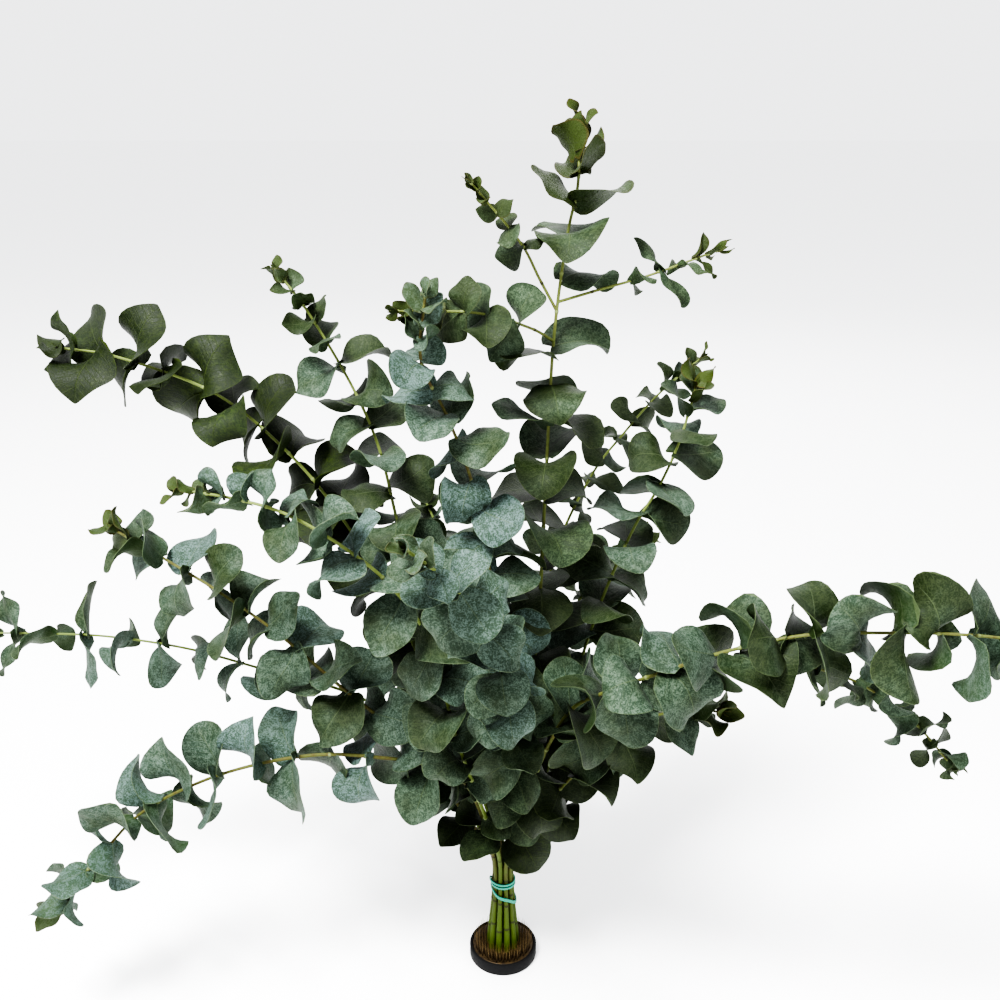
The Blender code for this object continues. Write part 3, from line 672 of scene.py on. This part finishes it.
def corners_of(node):
    """The corners of a CAD node, ready to be searched."""
    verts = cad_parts[node].data.vertices
    found = KDTree(len(verts))
    for vert in verts:
        found.insert(vert.co, vert.index)
    found.balance()
    return found


def was_built(leaf, corners):
    """Whether the leaf's tip and its first row are among the node's corners."""
    row = FIRST_ROWS[leaf.length > SMALL_LEAF]
    reach = leaf.half_width(row) * OUTLINE_SWELL
    marks = ((1.0, 0.0), (row, reach), (row, -reach))
    places = [leaf.blade(u, x, LEAF_THICKNESS / 2) for u, x in marks]
    return all(corners.find(place)[2] < SAME_PLACE for place in places)


def as_built(leaf, corners):
    """The leaf in the way that the model chose, or None where it was left out."""
    ways = (leaf.fitted(fit) for fit in FITS)
    return next((way for way in ways if was_built(way, corners)), None)


# %% All the leaves
growths = {}
for node, sprays in bunch.items():
    corners = corners_of(node)
    growths[node] = []
    for number, spray in enumerate(sprays):
        route = Route(spray)
        pairs = []
        for distance, leaves in leaves_of(spray, route, f"{node} {number}"):
            kept = [as_built(leaf, corners) for leaf in leaves]
            pairs.append((distance, [leaf for leaf in kept if leaf]))
        growths[node].append((spray, route, pairs))
leaf_count = sum(len(pair) for each in growths.values() for *_, pairs in each for _, pair in pairs)
print(leaf_count, "leaves found in the model")

# %% [markdown]
# ## Leaf finish
#
# The blade is a deep green under a waxy bloom, which is blue-white, thick on some leaves,
# rubbed thin on others, and never even. It is a crust of streaks, blotches and speckles, so
# three noises of different sizes are added and cut off steeply. A pale midrib starts at the
# stem and fades towards the tip, with thin side veins that fan out from it. Young leaves at
# the tips have little wax and are yellow-green, with a red rim. The underside is a lighter
# green, with less wax, and duller. Its lighter green is partly its own colour and partly
# painted light, for light that shines through the thin blade.
#
# Each blade carries a map of its own: how far along it a point is, and how far across. It
# also carries how young the leaf is, how much wax it has, how much painted shade and darker
# tone it gets, and how near a point is to the rim.

# %% Leaf finish
LEAF_GREEN = (0.0070, 0.0155, 0.0024)
LEAF_BLUE = (0.0190, 0.0360, 0.0235)
LEAF_YOUNG = (0.028, 0.043, 0.003)
WAX = (0.100, 0.140, 0.112)
BLUE_WAX = (0.092, 0.134, 0.132)
VEIN = (0.078, 0.104, 0.050)
# The underside's lighter green is partly its own colour and partly painted light, for light that
# shines through the thin blade.
UNDER_GREEN = (0.0120, 0.0270, 0.0045)
UNDER_BLUE = (0.0235, 0.0440, 0.0260)
GREEN_FLECK = (0.0330, 0.0450, 0.0195)
RED_RIM = (0.070, 0.030, 0.008)
# How fine the noises are: cells a metre, and cells a blade for the streaks. STREAKS_APART
# gives leaves of different wax streaks of their own.
PATCHES, BLOTCHES, SPECKLES, VEIN_BENDS = 38, 190, 850, 90
STREAKS_ALONG, STREAKS_ACROSS, STREAKS_APART = 52, 26, 90
SIDE_VEINS = 8
# How far veins and wax stand off the blade, in metres.
LEAF_RELIEF = 0.0005


def across_the_blade(finish):
    """The blade's own map: along it from 0 to 1, and across it from -0.5 to 0.5."""
    split = finish.node("ShaderNodeSeparateXYZ", {}, {
        "Vector": finish.node("ShaderNodeUVMap", {"uv_map": "blade"}, {}).outputs[0],
    })
    return Number(finish, split.outputs[0]), Number(finish, split.outputs[1]) - 0.5


def veins(finish, along, across):
    """A midrib that thins towards the tip, and side veins that fan out from it."""
    off = abs(across)
    midrib = 1 - (off / (0.020 - 0.012 * along)).rounded_steps(0.4, 1.0)
    midrib = midrib * (1 - along.rounded_steps(0.70, 0.98))
    bent = finish.noise(VEIN_BENDS, 2)
    run = (along - off * 0.75 + bent * 0.08) * SIDE_VEINS
    stripe = abs(run.maths("FRACT", run) - 0.5)
    side = (1 - stripe.rounded_steps(0.015, 0.075)) * (1 - off.rounded_steps(0.28, 0.45))
    return midrib, side * along.rounded_steps(0.02, 0.15)


def streaks_of_wax(finish, along, across, wax):
    """Fine streaks that run out from the midrib, and differ from leaf to leaf."""
    where = finish.node("ShaderNodeCombineXYZ", {}, {
        0: (along - abs(across) * 0.6) * STREAKS_ALONG,
        1: across * STREAKS_ACROSS,
        2: wax * STREAKS_APART,
    })
    return finish.noise(1.0, 5, 0.72, where=where.outputs[0], bent=0.6)


def leaf_finish(name, green, blue, waxy):
    """The finish of one side of a leaf."""
    finish = Finish(name)
    along, across = across_the_blade(finish)
    midrib, side = veins(finish, along, across)
    young = finish.attribute("young")
    wax = finish.attribute("wax")
    shade = finish.attribute("shade")
    patches = finish.noise(PATCHES, 3, 0.55)
    streaks = streaks_of_wax(finish, along, across, wax)
    speckle = finish.noise(SPECKLES, 3, 0.65)
    blotches = finish.noise(BLOTCHES, 3, 0.6, bent=0.8)
    bloom = (wax + patches * 1.6 - 0.8).rounded_steps(0.0, 1.0)
    # The crust of wax lies over the blade's own colour. Youth, veins and the rim come after.
    crust = streaks * 0.32 + speckle * 0.40 + blotches * 0.28
    crust = crust.rounded_steps(0.455, 0.565)
    colour = finish.mix(bloom, green, blue)
    bluish = wax.rounded_steps(0.60, 1.05)
    fleck = finish.mix(bloom, GREEN_FLECK, finish.mix(bluish, WAX, BLUE_WAX))
    colour = finish.mix((0.86 + 0.14 * bloom) * crust * waxy * 0.70, colour, fleck)
    colour = finish.mix(young * 0.9, colour, LEAF_YOUNG)
    lines = midrib * 0.30
    colour = finish.mix(lines.maths("MAXIMUM", lines, side * 0.13), colour, VEIN)
    rim = finish.attribute("rim")
    colour = finish.mix(rim.rounded_steps(0.88, 0.99) * young * 0.45, colour, RED_RIM)
    colour = finish.mix(rim.rounded_steps(0.982, 0.998) * (1 - young) * 0.45, colour, VEIN)
    # The painted shade, with each leaf's darker tone, takes most from blue, because light that
    # has passed through leaves is green.
    dim = finish.node("ShaderNodeCombineColor", {}, {
        0: 1 - shade, 1: 1 - shade * 0.90, 2: 1 - shade * 1.42,
    })
    colour = finish.mix(1.0, colour, dim.outputs[0], "MULTIPLY")
    finish.raised(0.8 * midrib + 0.4 * side + 0.3 * crust, LEAF_RELIEF, 0.8)
    dull = 0.74 - 0.20 * waxy
    return finish.set(base_color=colour, roughness=dull + 0.16 * bloom, specular_ior_level=0.16)


leaf_top = leaf_finish("leaf top", LEAF_GREEN, LEAF_BLUE, 1.0)
leaf_under = leaf_finish("leaf underside", UNDER_GREEN, UNDER_BLUE, 0.8)
print("leaf finishes:", leaf_top.material.name, "and", leaf_under.material.name)

# %% [markdown]
# ## Leaf blades
#
# A blade starts as a flat grid. The grid is eased into a disc, so that its rim is round and
# its faces stay even, and the disc is drawn out to the leaf's outline: lobes that clasp the
# stem, a wide middle and, on some leaves, a small point. Then the blade is laid along the
# leaf's own arc. Real blades are never flat, so the halves fold up or down from the midrib,
# and the rim waves, which is what gives each leaf its own silhouette. There are hundreds of
# blades, so each has only 64 faces. Solidify gives them thickness, and its material offset
# gives the underside a finish of its own.

# %% Easing
def eased(share):
    """From 0 to 1, with no jerk at either end."""
    share = min(max(share, 0.0), 1.0)
    return share * share * (3 - 2 * share)


print("a step from 0 to 1, eased, is a quarter of the way at", eased(0.25))

# %% One blade
BLADE_STEPS = 8
BLADE_THICKNESS = 0.0004
LOBE = 0.10
BOX_EDGE = 0.0005
LOBE_POWER = 6
POINT = 0.085
ROUNDNESS = (0.25, 1.0)
WAVE_COUNTS = (2, 2, 3)
WAVE_DEPTH = {2: (0.08, 0.20), 3: (0.05, 0.125)}
RIPPLE_COUNTS = (4, 5, 6)
RIPPLE_DEPTH = (0.014, 0.038)
FOLD = (-0.42, 0.52)
TIP_CURL = (-0.20, 0.30)


class Marks:
    """The map and the notes that every blade of a mesh carries."""

    def __init__(self, bm):
        self.map = bm.loops.layers.uv.new("blade")
        layers = bm.verts.layers.float
        self.notes = {name: layers.new(name) for name in ("young", "wax", "shade", "rim")}


def ruffled(leaf):
    """How far one blade lifts off its smooth arc at any point.

    It is folded at the midrib, waved and finely rippled towards its rim, and curled at its tip.
    """
    draw = random.Random(leaf.key + " blade")
    waves = draw.choice(WAVE_COUNTS)
    depth = leaf.length * draw.uniform(*WAVE_DEPTH[waves]) * leaf.waved
    ripples, ripple = draw.choice(RIPPLE_COUNTS), leaf.length * draw.uniform(*RIPPLE_DEPTH)
    start, later = draw.uniform(0, 2 * math.pi), draw.uniform(0, 2 * math.pi)
    folds = [draw.uniform(*FOLD), draw.uniform(*FOLD)]
    curl = draw.uniform(*TIP_CURL)

    def lift(u, aside, angle, rim):
        share = abs(aside) / (leaf.width / 2)
        fold = folds[aside > 0] * leaf.width / 2 * share**1.2
        wave = depth * rim**2.4 * math.sin(waves * angle + start)
        wave += ripple * rim**4 * math.sin(ripples * angle + later)
        return fold + wave * eased(rim * 2) - curl * leaf.length * max(u - 0.45, 0) ** 2

    return lift


def kept_in(point):
    """The point, or the nearest one inside the model's own box."""
    return Vector(
        min(max(value, low + BOX_EDGE), high - BOX_EDGE)
        for value, low, high in zip(point, *cad_box)
    )


def add_blade(bm, marks, leaf, notes):
    """Adds one leaf to a mesh. Some leaves end in a small point, some are quite round.

    On the disc, out runs from -1 at the stem to 1 at the tip, and over from side to side.
    On the blade, u is the share of its length, and v of its half width there.
    """
    draw = random.Random(leaf.key + " outline")
    roundness = draw.uniform(*ROUNDNESS) * (1 - leaf.pointed)
    point = POINT * max(draw.uniform(-0.8, 1.0), leaf.pointed)
    lift = ruffled(leaf)
    steps = BLADE_STEPS
    verts = bmesh.ops.create_grid(bm, x_segments=steps, y_segments=steps, size=1)["verts"]
    places = {}
    for vert in verts:
        x, y = vert.co.x, -vert.co.y
        out = x * math.sqrt(1 - y * y / 2)
        over = y * math.sqrt(1 - x * x / 2)
        rim = min(math.hypot(out, over), 1.0)
        u = (1 + out) / 2
        v = over / math.sqrt(max(1 - out * out, 1e-9))
        v = max(-1.0, min(1.0, v))
        plain = leaf.half_width(u)
        circle = leaf.width * math.sqrt(max(u * (1 - u), 0.0))
        aside = v * (plain + (circle - plain) * roundness)
        raised = lift(u, aside, math.atan2(over, out), rim)
        places[vert] = (u, aside / leaf.width + 0.5)
        # The tip swells gently and ends in a short point, and the base grows two lobes.
        tip = max(out, 0.0)
        u += point * (0.6 * tip**24 + 0.4 * tip**7)
        u -= LOBE * v * v * (1 - min(u, 1.0)) ** LOBE_POWER
        vert.co = kept_in(leaf.blade(u, aside, raised))
        for name, value in (*notes.items(), ("rim", rim)):
            vert[marks.notes[name]] = value
    for face in {face for vert in verts for face in vert.link_faces}:
        for loop in face.loops:
            loop[marks.map].uv = places[loop.vert]


# %% [markdown]
# ## What makes each stem different
#
# One finish and one set of rules serve all leaves, so what differs from stem to stem is
# kept in a table. Wax, youth and shade are written on the blades, for the finish to read.
# Wax is thickest at the front and on the left, and it wears off deep in the bunch. There the
# leaves are also darker, partly as older leaves and partly by painted shade for the light that
# the bunch keeps out. The other habits shape the leaves as the picture shows them. Where
# leaves lie over one another, each is also moved a little by itself.

# %% Each stem's habits
# wax: how waxy the leaves are. youth: how yellow the young ones are, and young_until: up to
# what share of its growth a leaf is young. shade: how much darker the leaves are. size and
# width: against the model's leaves, with tip_size for the youngest. point: how pointed they
# all are at least. waves: how deep they are. restless: how far each leaf is moved by
# itself. brown: how brown the wood is.
USUAL = dict(
    youth=1.0, young_until=0.40, shade=0.0, size=1.0, width=1.0, tip_size=1.0, point=0.0,
    waves=1.0, restless=0.0, brown=0.05,
)
HABITS = {
    "stem_tall": dict(
        wax=0.34, young_until=1.15, shade=0.27, size=0.90, width=1.06, tip_size=0.85,
        point=0.35, brown=0.35,
    ),
    "stem_upper_left": dict(
        wax=0.30, youth=0.75, shade=0.10, size=0.88, tip_size=0.75, point=0.45,
    ),
    "stem_far_left": dict(
        wax=0.12, youth=0.30, shade=0.58, size=0.88, width=1.05, tip_size=0.72, point=0.75,
        restless=0.35,
    ),
    "stem_mid_left": dict(wax=0.68, youth=0.85, size=0.92, waves=1.2, restless=1.0),
    "stem_left": dict(wax=0.60, point=0.3, restless=0.35, brown=0.55),
    "stem_thin_left": dict(wax=0.60),
    "stem_low_left": dict(wax=0.76, youth=0.70, restless=0.35, brown=0.50),
    "stem_front": dict(wax=0.74, youth=0.55, size=0.82, waves=1.3, restless=1.0),
    "stem_upright": dict(wax=0.76, youth=0.5, size=0.92, restless=1.0, brown=0.60),
    "stem_right_up": dict(wax=0.32),
    "stem_right_back": dict(wax=0.20),
    "stem_right": dict(
        wax=0.42, youth=0.5, shade=0.12, size=0.87, width=1.06, waves=1.5, restless=0.6,
        brown=0.45,
    ),
    "stem_low_right": dict(wax=0.30, size=0.86, waves=1.3, restless=1.0, brown=0.45),
    "stem_back_right": dict(wax=0.22),
    "stem_back_left": dict(wax=0.22),
}
# Two of the tall stem's twigs, by number, have leaves of their own size or width.
TWIG_HABITS = {"stem_tall 2": dict(size=0.74), "stem_tall 3": dict(size=0.95, width=0.62)}


def habits_of(node, number=0):
    """The habits of a stem, or of one of its twigs."""
    return {**USUAL, **HABITS[node], **TWIG_HABITS.get(f"{node} {number}", {})}


print(len(HABITS), "stems have habits of their own")

# %% How waxy, how young and how shaded
# Near the heart of the bunch a leaf is darkened with painted shade, by up to HEART_SHADE within
# HEART_REACH, and loses up to WAX_LOST of its wax.
HEART = Vector((0.01, 0.0, 0.19))
HEART_REACH = 0.19
HEART_SHADE = 0.42
WAX_LOST = 0.55
MOST_SHADE = 0.7
WAX_SPREAD, SHADE_SPREAD, YOUTH_SPREAD = (-0.42, 0.38), (0.0, 0.16), (0.7, 1.0)


def notes_of(leaf, habits):
    """What a leaf's finish is told: its youth, its wax, and its shade.

    The shade is painted shade deep in the bunch, plus a darker tone of the leaf's and its stem's
    own.
    """
    draw = random.Random(leaf.key + " notes")
    deep = eased(1 - (leaf.point - HEART).length / HEART_REACH)
    youth = habits["youth"] * draw.uniform(*YOUTH_SPREAD)
    wax = habits["wax"] + draw.uniform(*WAX_SPREAD) - WAX_LOST * deep
    shade = HEART_SHADE * deep + draw.uniform(*SHADE_SPREAD) + habits["shade"]
    return {
        "young": eased(1 - leaf.grown / habits["young_until"]) * youth,
        "wax": wax,
        "shade": min(shade, MOST_SHADE),
    }


# %% The same leaf, changed
# Leaves further to the side than SIDE_FROM keep the model's size, and so does the bunch's
# width. The lowest leaves, from LOW_FROM down, are smaller. Where a tip would hang over the
# tie, the leaf is raised by up to MOST_RISE degrees. TILTED, DROOPED and TWISTED say how
# far restless leaves are moved, in degrees.
SIDE_FROM = 0.385
LOWEST_SIZE, LOW_FROM, LOW_OVER = 0.80, 0.215, 0.06
TILTED, DROOPED, TWISTED = 15, 38, 38
LOWEST_TIP, NEAR_TIE, NEAR_MIDDLE = 0.118, 0.12, 0.1
MOST_RISE, HELD_SIZE = 35, 0.74


def stirred(leaf, strength):
    """Moved by its own small draws."""
    draw = random.Random(leaf.key + " stirred")
    moved = leaf.fitted((0, draw.uniform(-TILTED, TILTED) * strength, 1.0, 1.0))
    moved.droop += draw.uniform(-DROOPED, DROOPED) * strength
    moved.twist += draw.uniform(-TWISTED, TWISTED) * strength
    return moved


def sized(leaf, habits):
    """At its stem's own size, unless it is near the side of the bunch."""
    inside = abs(leaf.point.x) < SIDE_FROM
    size = habits["size"] * (1 - (1 - habits["tip_size"]) * (1 - leaf.grown))
    size *= 1 - (1 - LOWEST_SIZE) * eased((LOW_FROM - leaf.point.z) / LOW_OVER)
    changed = leaf.fitted((0, 0, size if inside else 1.0, 1.0))
    changed.width *= habits["width"] if inside else 1.0
    changed.waved = habits["waves"]
    changed.pointed = habits["point"]
    return changed


def held_up(leaf):
    """Raised and made smaller, where its tip would hang over the tie."""
    drop = LOWEST_TIP - leaf.blade(1.0, 0.0).z
    far_up = leaf.point.z > TIE_HEIGHT + NEAR_TIE
    if drop <= 0 or far_up or abs(leaf.point.x) > NEAR_MIDDLE:
        return leaf
    rise = min(math.degrees(drop / leaf.length), MOST_RISE)
    moved = leaf.fitted((0, rise, HELD_SIZE, 1.0))
    moved.droop -= rise
    return moved


# %% Buds
# A shoot never ends in bare wood: tiny leaves close its tip.
BUD_LENGTH, BUD_MOST = (0.007, 0.010), 0.6
BUD_SLIM = 0.38
BUD_TILT = (68, 82)


def bud(leaf, number):
    """A tiny upright leaf that closes the tip between the last two."""
    small = leaf.fitted((90, 0, 1.0, 0.0))
    small.key = f"{leaf.key} bud {number}"
    draw = random.Random(small.key)
    small.length = min(draw.uniform(*BUD_LENGTH), leaf.length * BUD_MOST)
    small.width = small.length * BUD_SLIM
    small.tilt = draw.uniform(*BUD_TILT)
    small.droop = small.cup = small.wave = small.grown = small.waved = 0.0
    small.pointed = 1.0
    return small


# %% The leaves of every stem
def leaf_piece(node):
    """All the leaves of one stem, as one piece."""
    bm = bmesh.new()
    marks = Marks(bm)
    for number, (_, _, pairs) in enumerate(growths[node]):
        habits = habits_of(node, number)
        leaves = [stirred(leaf, habits["restless"]) for _, pair in pairs for leaf in pair]
        leaves = [held_up(sized(leaf, habits)) for leaf in leaves]
        buds = [bud(leaf, which) for which, leaf in enumerate(pairs[0][1])]
        for leaf in leaves + buds:
            add_blade(bm, marks, leaf, notes_of(leaf, habits))
    for edge in bm.edges:
        edge.smooth = not edge.is_boundary
    made = mesh_object(node + "_leaves", bm, leaf_top, leaf_under)
    wall = made.modifiers.new("thickness", "SOLIDIFY")
    wall.thickness = BLADE_THICKNESS
    wall.offset = -1
    wall.material_offset = 1
    return made


def keep(piece, node):
    """Rides a finished piece on the body, in place of a node of the model."""
    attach(piece, "root")
    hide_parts(node)
    print(piece.name, len(piece.data.polygons), "faces")


for node in bunch:
    keep(leaf_piece(node), node)

# %% [markdown]
# ## Stem finish
#
# Young wood is a pale yellow-green, and it turns olive and then brown towards the foot. The
# rings where leaves sit, or once sat, are paler or darker than the wood between them.

# %% Stem finish
WOOD_YOUNG = (0.100, 0.130, 0.034)
WOOD_OLIVE = (0.026, 0.046, 0.002)
WOOD_BROWN = (0.045, 0.024, 0.010)
SCAR = (0.010, 0.007, 0.003)
JOINT = (0.150, 0.185, 0.075)

bark = Finish("stem bark")
age = bark.attribute("age")
brown = bark.attribute("brown")
streaks = bark.noise(260, 4, 0.6)
colour = bark.mix(age, WOOD_YOUNG, WOOD_OLIVE)
colour = bark.mix((brown + streaks * 0.8 - 0.4).rounded_steps(0.1, 0.9), colour, WOOD_BROWN)
colour = bark.mix(bark.attribute("joint") * 0.7, colour, JOINT)
colour = bark.mix(bark.attribute("scar") * 0.85, colour, SCAR)
bark.raised(streaks, 0.0006, 0.7)
bark.set(base_color=colour, roughness=0.66, specular_ior_level=0.14)
print("stem finish:", bark.material.name)

# %% [markdown]
# ## Wood
#
# A stem is round and tapers to its tip. It starts as a small disc at the foot, which is
# pulled out ring by ring along the route. It is thickest at the foot, and a little wider at
# every leaf pair and at the scars that lost leaves have left. Some stems are browner.

# %% One run of wood
ROUND_SIDES = 10
FOOT_FLARE, FLARE_HEIGHT = 0.45, 0.066
GREEN_FOOT = 0.13
OLD_BELOW = 0.45
RING_STEP = 0.007
JOINT_SWELL = 1.32
SCAR_SWELL = 1.16
JOINT_HALF = 0.0018
# How a swelling rises and falls: the places of its rings, and how high it is there.
SWELLING = ((-1.0, 0.0), (-0.4, 0.8), (0.0, 1.0), (0.4, 0.8), (1.0, 0.0))
SCAR_APART = (0.022, 0.034)


def wood_rings(key, spray, route, pairs):
    """Where the rings go: distance, swelling, and how much of a joint or a scar each is."""
    rings = {}
    count = math.ceil(route.length / RING_STEP)
    for i in range(count + 1):
        rings[route.length * i / count] = (1.0, 0.0, 0.0)
    draw = random.Random(key + " scars")
    marks = [(distance, JOINT_SWELL, 1.0, 0.0) for distance, _ in pairs]
    place = draw.uniform(*SCAR_APART)
    while place < pairs[-1][0] - SCAR_APART[0] / 2:
        marks.append((place, SCAR_SWELL, 0.0, 1.0))
        place += draw.uniform(*SCAR_APART)
    for place, swell, joint, scar in marks:
        near = [at for at in rings if abs(at - place) < 2 * JOINT_HALF and 0 < at < route.length]
        for at in near:
            del rings[at]
        for offset, share in SWELLING:
            at = min(max(place + offset * JOINT_HALF, 0.0), route.length)
            rings[at] = (1 + (swell - 1) * share, joint * share, scar * share)
    return sorted(rings.items())


def add_wood(bm, layers, key, spray, route, pairs, brown):
    """Pulls a round, tapering stem out of a disc at its foot."""
    rings = wood_rings(key, spray, route, pairs)
    foot = bmesh.ops.create_circle(bm, cap_ends=True, segments=ROUND_SIDES, radius=1)["verts"]
    face = foot[0].link_faces[0]
    for number, (distance, (swell, joint, scar)) in enumerate(rings):
        if number:
            face = bmesh.ops.extrude_discrete_faces(bm, faces=[face])["faces"][0]
        point, tangent, side = route.at(distance)
        other = tangent.cross(side)
        up = point.z - FOOT_HEIGHT
        flare = 1 + FOOT_FLARE * eased(1 - up / FLARE_HEIGHT)
        radius = route.radius(distance, spray.wood) * flare * swell
        for i, vert in enumerate(face.verts):
            turn = 2 * math.pi * i / ROUND_SIDES
            vert.co = point + (side * math.cos(turn) + other * math.sin(turn)) * radius
            vert[layers["age"]] = 1 - up / OLD_BELOW
            vert[layers["joint"]] = joint
            vert[layers["scar"]] = scar
            vert[layers["brown"]] = brown * (1 - 0.8 * eased(1 - up / GREEN_FOOT))


# %% The wood of every stem
def wood_piece(node):
    """The wood of one stem and its twigs, as one piece."""
    bm = bmesh.new()
    floats = bm.verts.layers.float
    layers = {name: floats.new(name) for name in ("age", "joint", "scar", "brown")}
    brown = habits_of(node)["brown"]
    for number, (spray, route, pairs) in enumerate(growths[node]):
        add_wood(bm, layers, f"{node} {number}", spray, route, pairs, brown)
    bmesh.ops.recalc_face_normals(bm, faces=bm.faces)
    return mesh_object(node + "_wood", bm, bark)


for node in bunch:
    keep(wood_piece(node), node)

# %% [markdown]
# ## Holder
#
# The bunch stands in a pin holder: a heavy round plate of aged brass in a black rubber ring,
# with a field of sharp pins. The plate is a short cylinder with a rounded edge. The ring is
# a profile turned about the upright axis, as such rings are moulded. Each pin is a slim
# cone, and none stands where a stem's foot does.

# %% Metal and rubber finishes
plate_finish = Finish("aged brass")
stain = plate_finish.noise(240, 4, 0.6).rounded_steps(0.35, 0.7)
plate_finish.set(
    base_color=plate_finish.mix(stain, (0.020, 0.012, 0.005), (0.055, 0.035, 0.013)),
    metallic=0.75, roughness=0.42 + 0.20 * stain,
)
ring_finish = Finish("black rubber")
dust = ring_finish.noise(300, 3, 0.6)
ring_finish.raised(dust, 0.0002, 0.4)
ring_finish.set(
    base_color=(0.003, 0.003, 0.0032), roughness=0.62 + 0.25 * dust, specular_ior_level=0.12)
print("holder finishes:", plate_finish.material.name, "and", ring_finish.material.name)

# %% Plate and ring
PLATE_RADIUS, PLATE_HEIGHT, PLATE_EDGE = 0.0299, 0.0115, 0.0008
RING_INNER, RING_RADIUS, RING_HEIGHT = 0.0303, 0.033, 0.012
RING_EDGE = 0.0012
ROUND_STEPS = 96


def creased(piece, angle=40):
    """The same piece, with the edges that turn by more than so many degrees kept sharp."""
    piece.data.set_sharp_from_angle(angle=math.radians(angle))
    return piece


bm = bmesh.new()
bmesh.ops.create_cone(
    bm, cap_ends=True, segments=ROUND_STEPS, radius1=PLATE_RADIUS, radius2=PLATE_RADIUS,
    depth=PLATE_HEIGHT,
)
bmesh.ops.translate(bm, verts=bm.verts, vec=(0, 0, PLATE_HEIGHT / 2))
upper = [edge for edge in bm.edges if all(vert.co.z > PLATE_HEIGHT / 2 for vert in edge.verts)]
bmesh.ops.bevel(
    bm, geom=upper, offset=PLATE_EDGE, affect="EDGES", segments=3, profile=0.5, material=-1)
keep(creased(mesh_object("plate", bm, plate_finish)), "pin_holder")

bm = bmesh.new()
profile = (
    (RING_INNER, 0), (RING_INNER, RING_HEIGHT - 0.0004), (RING_INNER + 0.0004, RING_HEIGHT),
    (RING_RADIUS - RING_EDGE, RING_HEIGHT), (RING_RADIUS - 0.0004, RING_HEIGHT - 0.0003),
    (RING_RADIUS, RING_HEIGHT - RING_EDGE), (RING_RADIUS, 0.0008), (RING_RADIUS - 0.0006, 0),
)
verts = [bm.verts.new((radius, 0, height)) for radius, height in profile]
edges = [bm.edges.new(pair) for pair in zip(verts, verts[1:] + verts[:1])]
bmesh.ops.spin(
    bm, geom=verts + edges, cent=(0, 0, 0), axis=(0, 0, 1), dvec=(0, 0, 0),
    angle=2 * math.pi, steps=ROUND_STEPS, use_merge=True,
)
bmesh.ops.recalc_face_normals(bm, faces=bm.faces)
keep(creased(mesh_object("ring", bm, ring_finish)), "rubber_ring")

# %% Pins
PIN_PITCH = 0.0031
PIN_FIELD = 0.0282
PIN_WIDTH = 0.00062
PIN_TOP = PLATE_HEIGHT + 0.013
PIN_SUNK = 0.0008
PIN_SIDES = 6

pin_finish = Finish("pin brass")
height = Number(pin_finish, pin_finish.node(
    "ShaderNodeSeparateXYZ", {}, {"Vector": pin_finish.place()}).outputs[2])
bright = height.rounded_steps(PLATE_HEIGHT, PIN_TOP) * pin_finish.noise(500, 3, 0.6) * 1.6
pin_finish.set(
    base_color=pin_finish.mix(bright, (0.014, 0.008, 0.003), (0.190, 0.125, 0.045)),
    metallic=0.75, roughness=0.38,
)
stem_routes = [growths[node][0][1] for node in bunch]


def in_a_foot(spot):
    """Whether a pin there would stand in a stem."""
    reach = STEM_RADIUS * (1 + FOOT_FLARE) + PIN_WIDTH
    heights = [(PIN_TOP - FOOT_HEIGHT) * step / 4 for step in range(5)]
    return any((route.at(up)[0].xy - spot).length < reach
               for route in stem_routes for up in heights)


bm = bmesh.new()
pins = 0
reach = math.ceil(PIN_FIELD / PIN_PITCH)
for row in range(-reach - 2, reach + 3):
    for column in range(-reach, reach + 1):
        spot = Vector(((column + row % 2 / 2) * PIN_PITCH, row * PIN_PITCH * math.sqrt(3) / 2))
        if spot.length > PIN_FIELD or in_a_foot(spot):
            continue
        depth = PIN_TOP - PLATE_HEIGHT + PIN_SUNK
        bmesh.ops.create_cone(
            bm, cap_ends=True, segments=PIN_SIDES, radius1=PIN_WIDTH, radius2=PIN_WIDTH / 8,
            depth=depth, matrix=Matrix.Translation((*spot, PIN_TOP - depth / 2)),
        )
        pins += 1
keep(creased(mesh_object("pins", bm, pin_finish)), "pin_holder")
print(pins, "pins")

# %% [markdown]
# ## Band
#
# A flat rubber band goes three times round the stems. The model holds it with square edges.
# A copy of it is merged, its triangles are joined back to four-sided faces, its long edges
# are rounded, and a smooth subdivision takes away the corners of its turns.

# %% Band
BAND_EDGE = 0.00028
SAME_CORNER = 0.000001
FLAT_ENOUGH, ANY_SHAPE, LONG_EDGE = math.radians(60), math.radians(180), math.radians(50)

band_finish = Finish("teal rubber")
band_finish.set(base_color=(0.006, 0.165, 0.115), roughness=0.55, specular_ior_level=0.3)
bm = bmesh.new()
bm.from_mesh(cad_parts["rubber_band"].data)
bmesh.ops.remove_doubles(bm, verts=bm.verts, dist=SAME_CORNER)
bmesh.ops.join_triangles(
    bm, faces=bm.faces, angle_face_threshold=FLAT_ENOUGH, angle_shape_threshold=ANY_SHAPE)
long_edges = [edge for edge in bm.edges if edge.calc_face_angle(0) > LONG_EDGE]
bmesh.ops.bevel(
    bm, geom=long_edges, offset=BAND_EDGE, affect="EDGES", segments=2, profile=0.5, material=-1)
band = mesh_object("band", bm, band_finish)
keep(band, "rubber_band")
smoother = band.modifiers.new("smoother", "SUBSURF")
smoother.levels = smoother.render_levels = 1
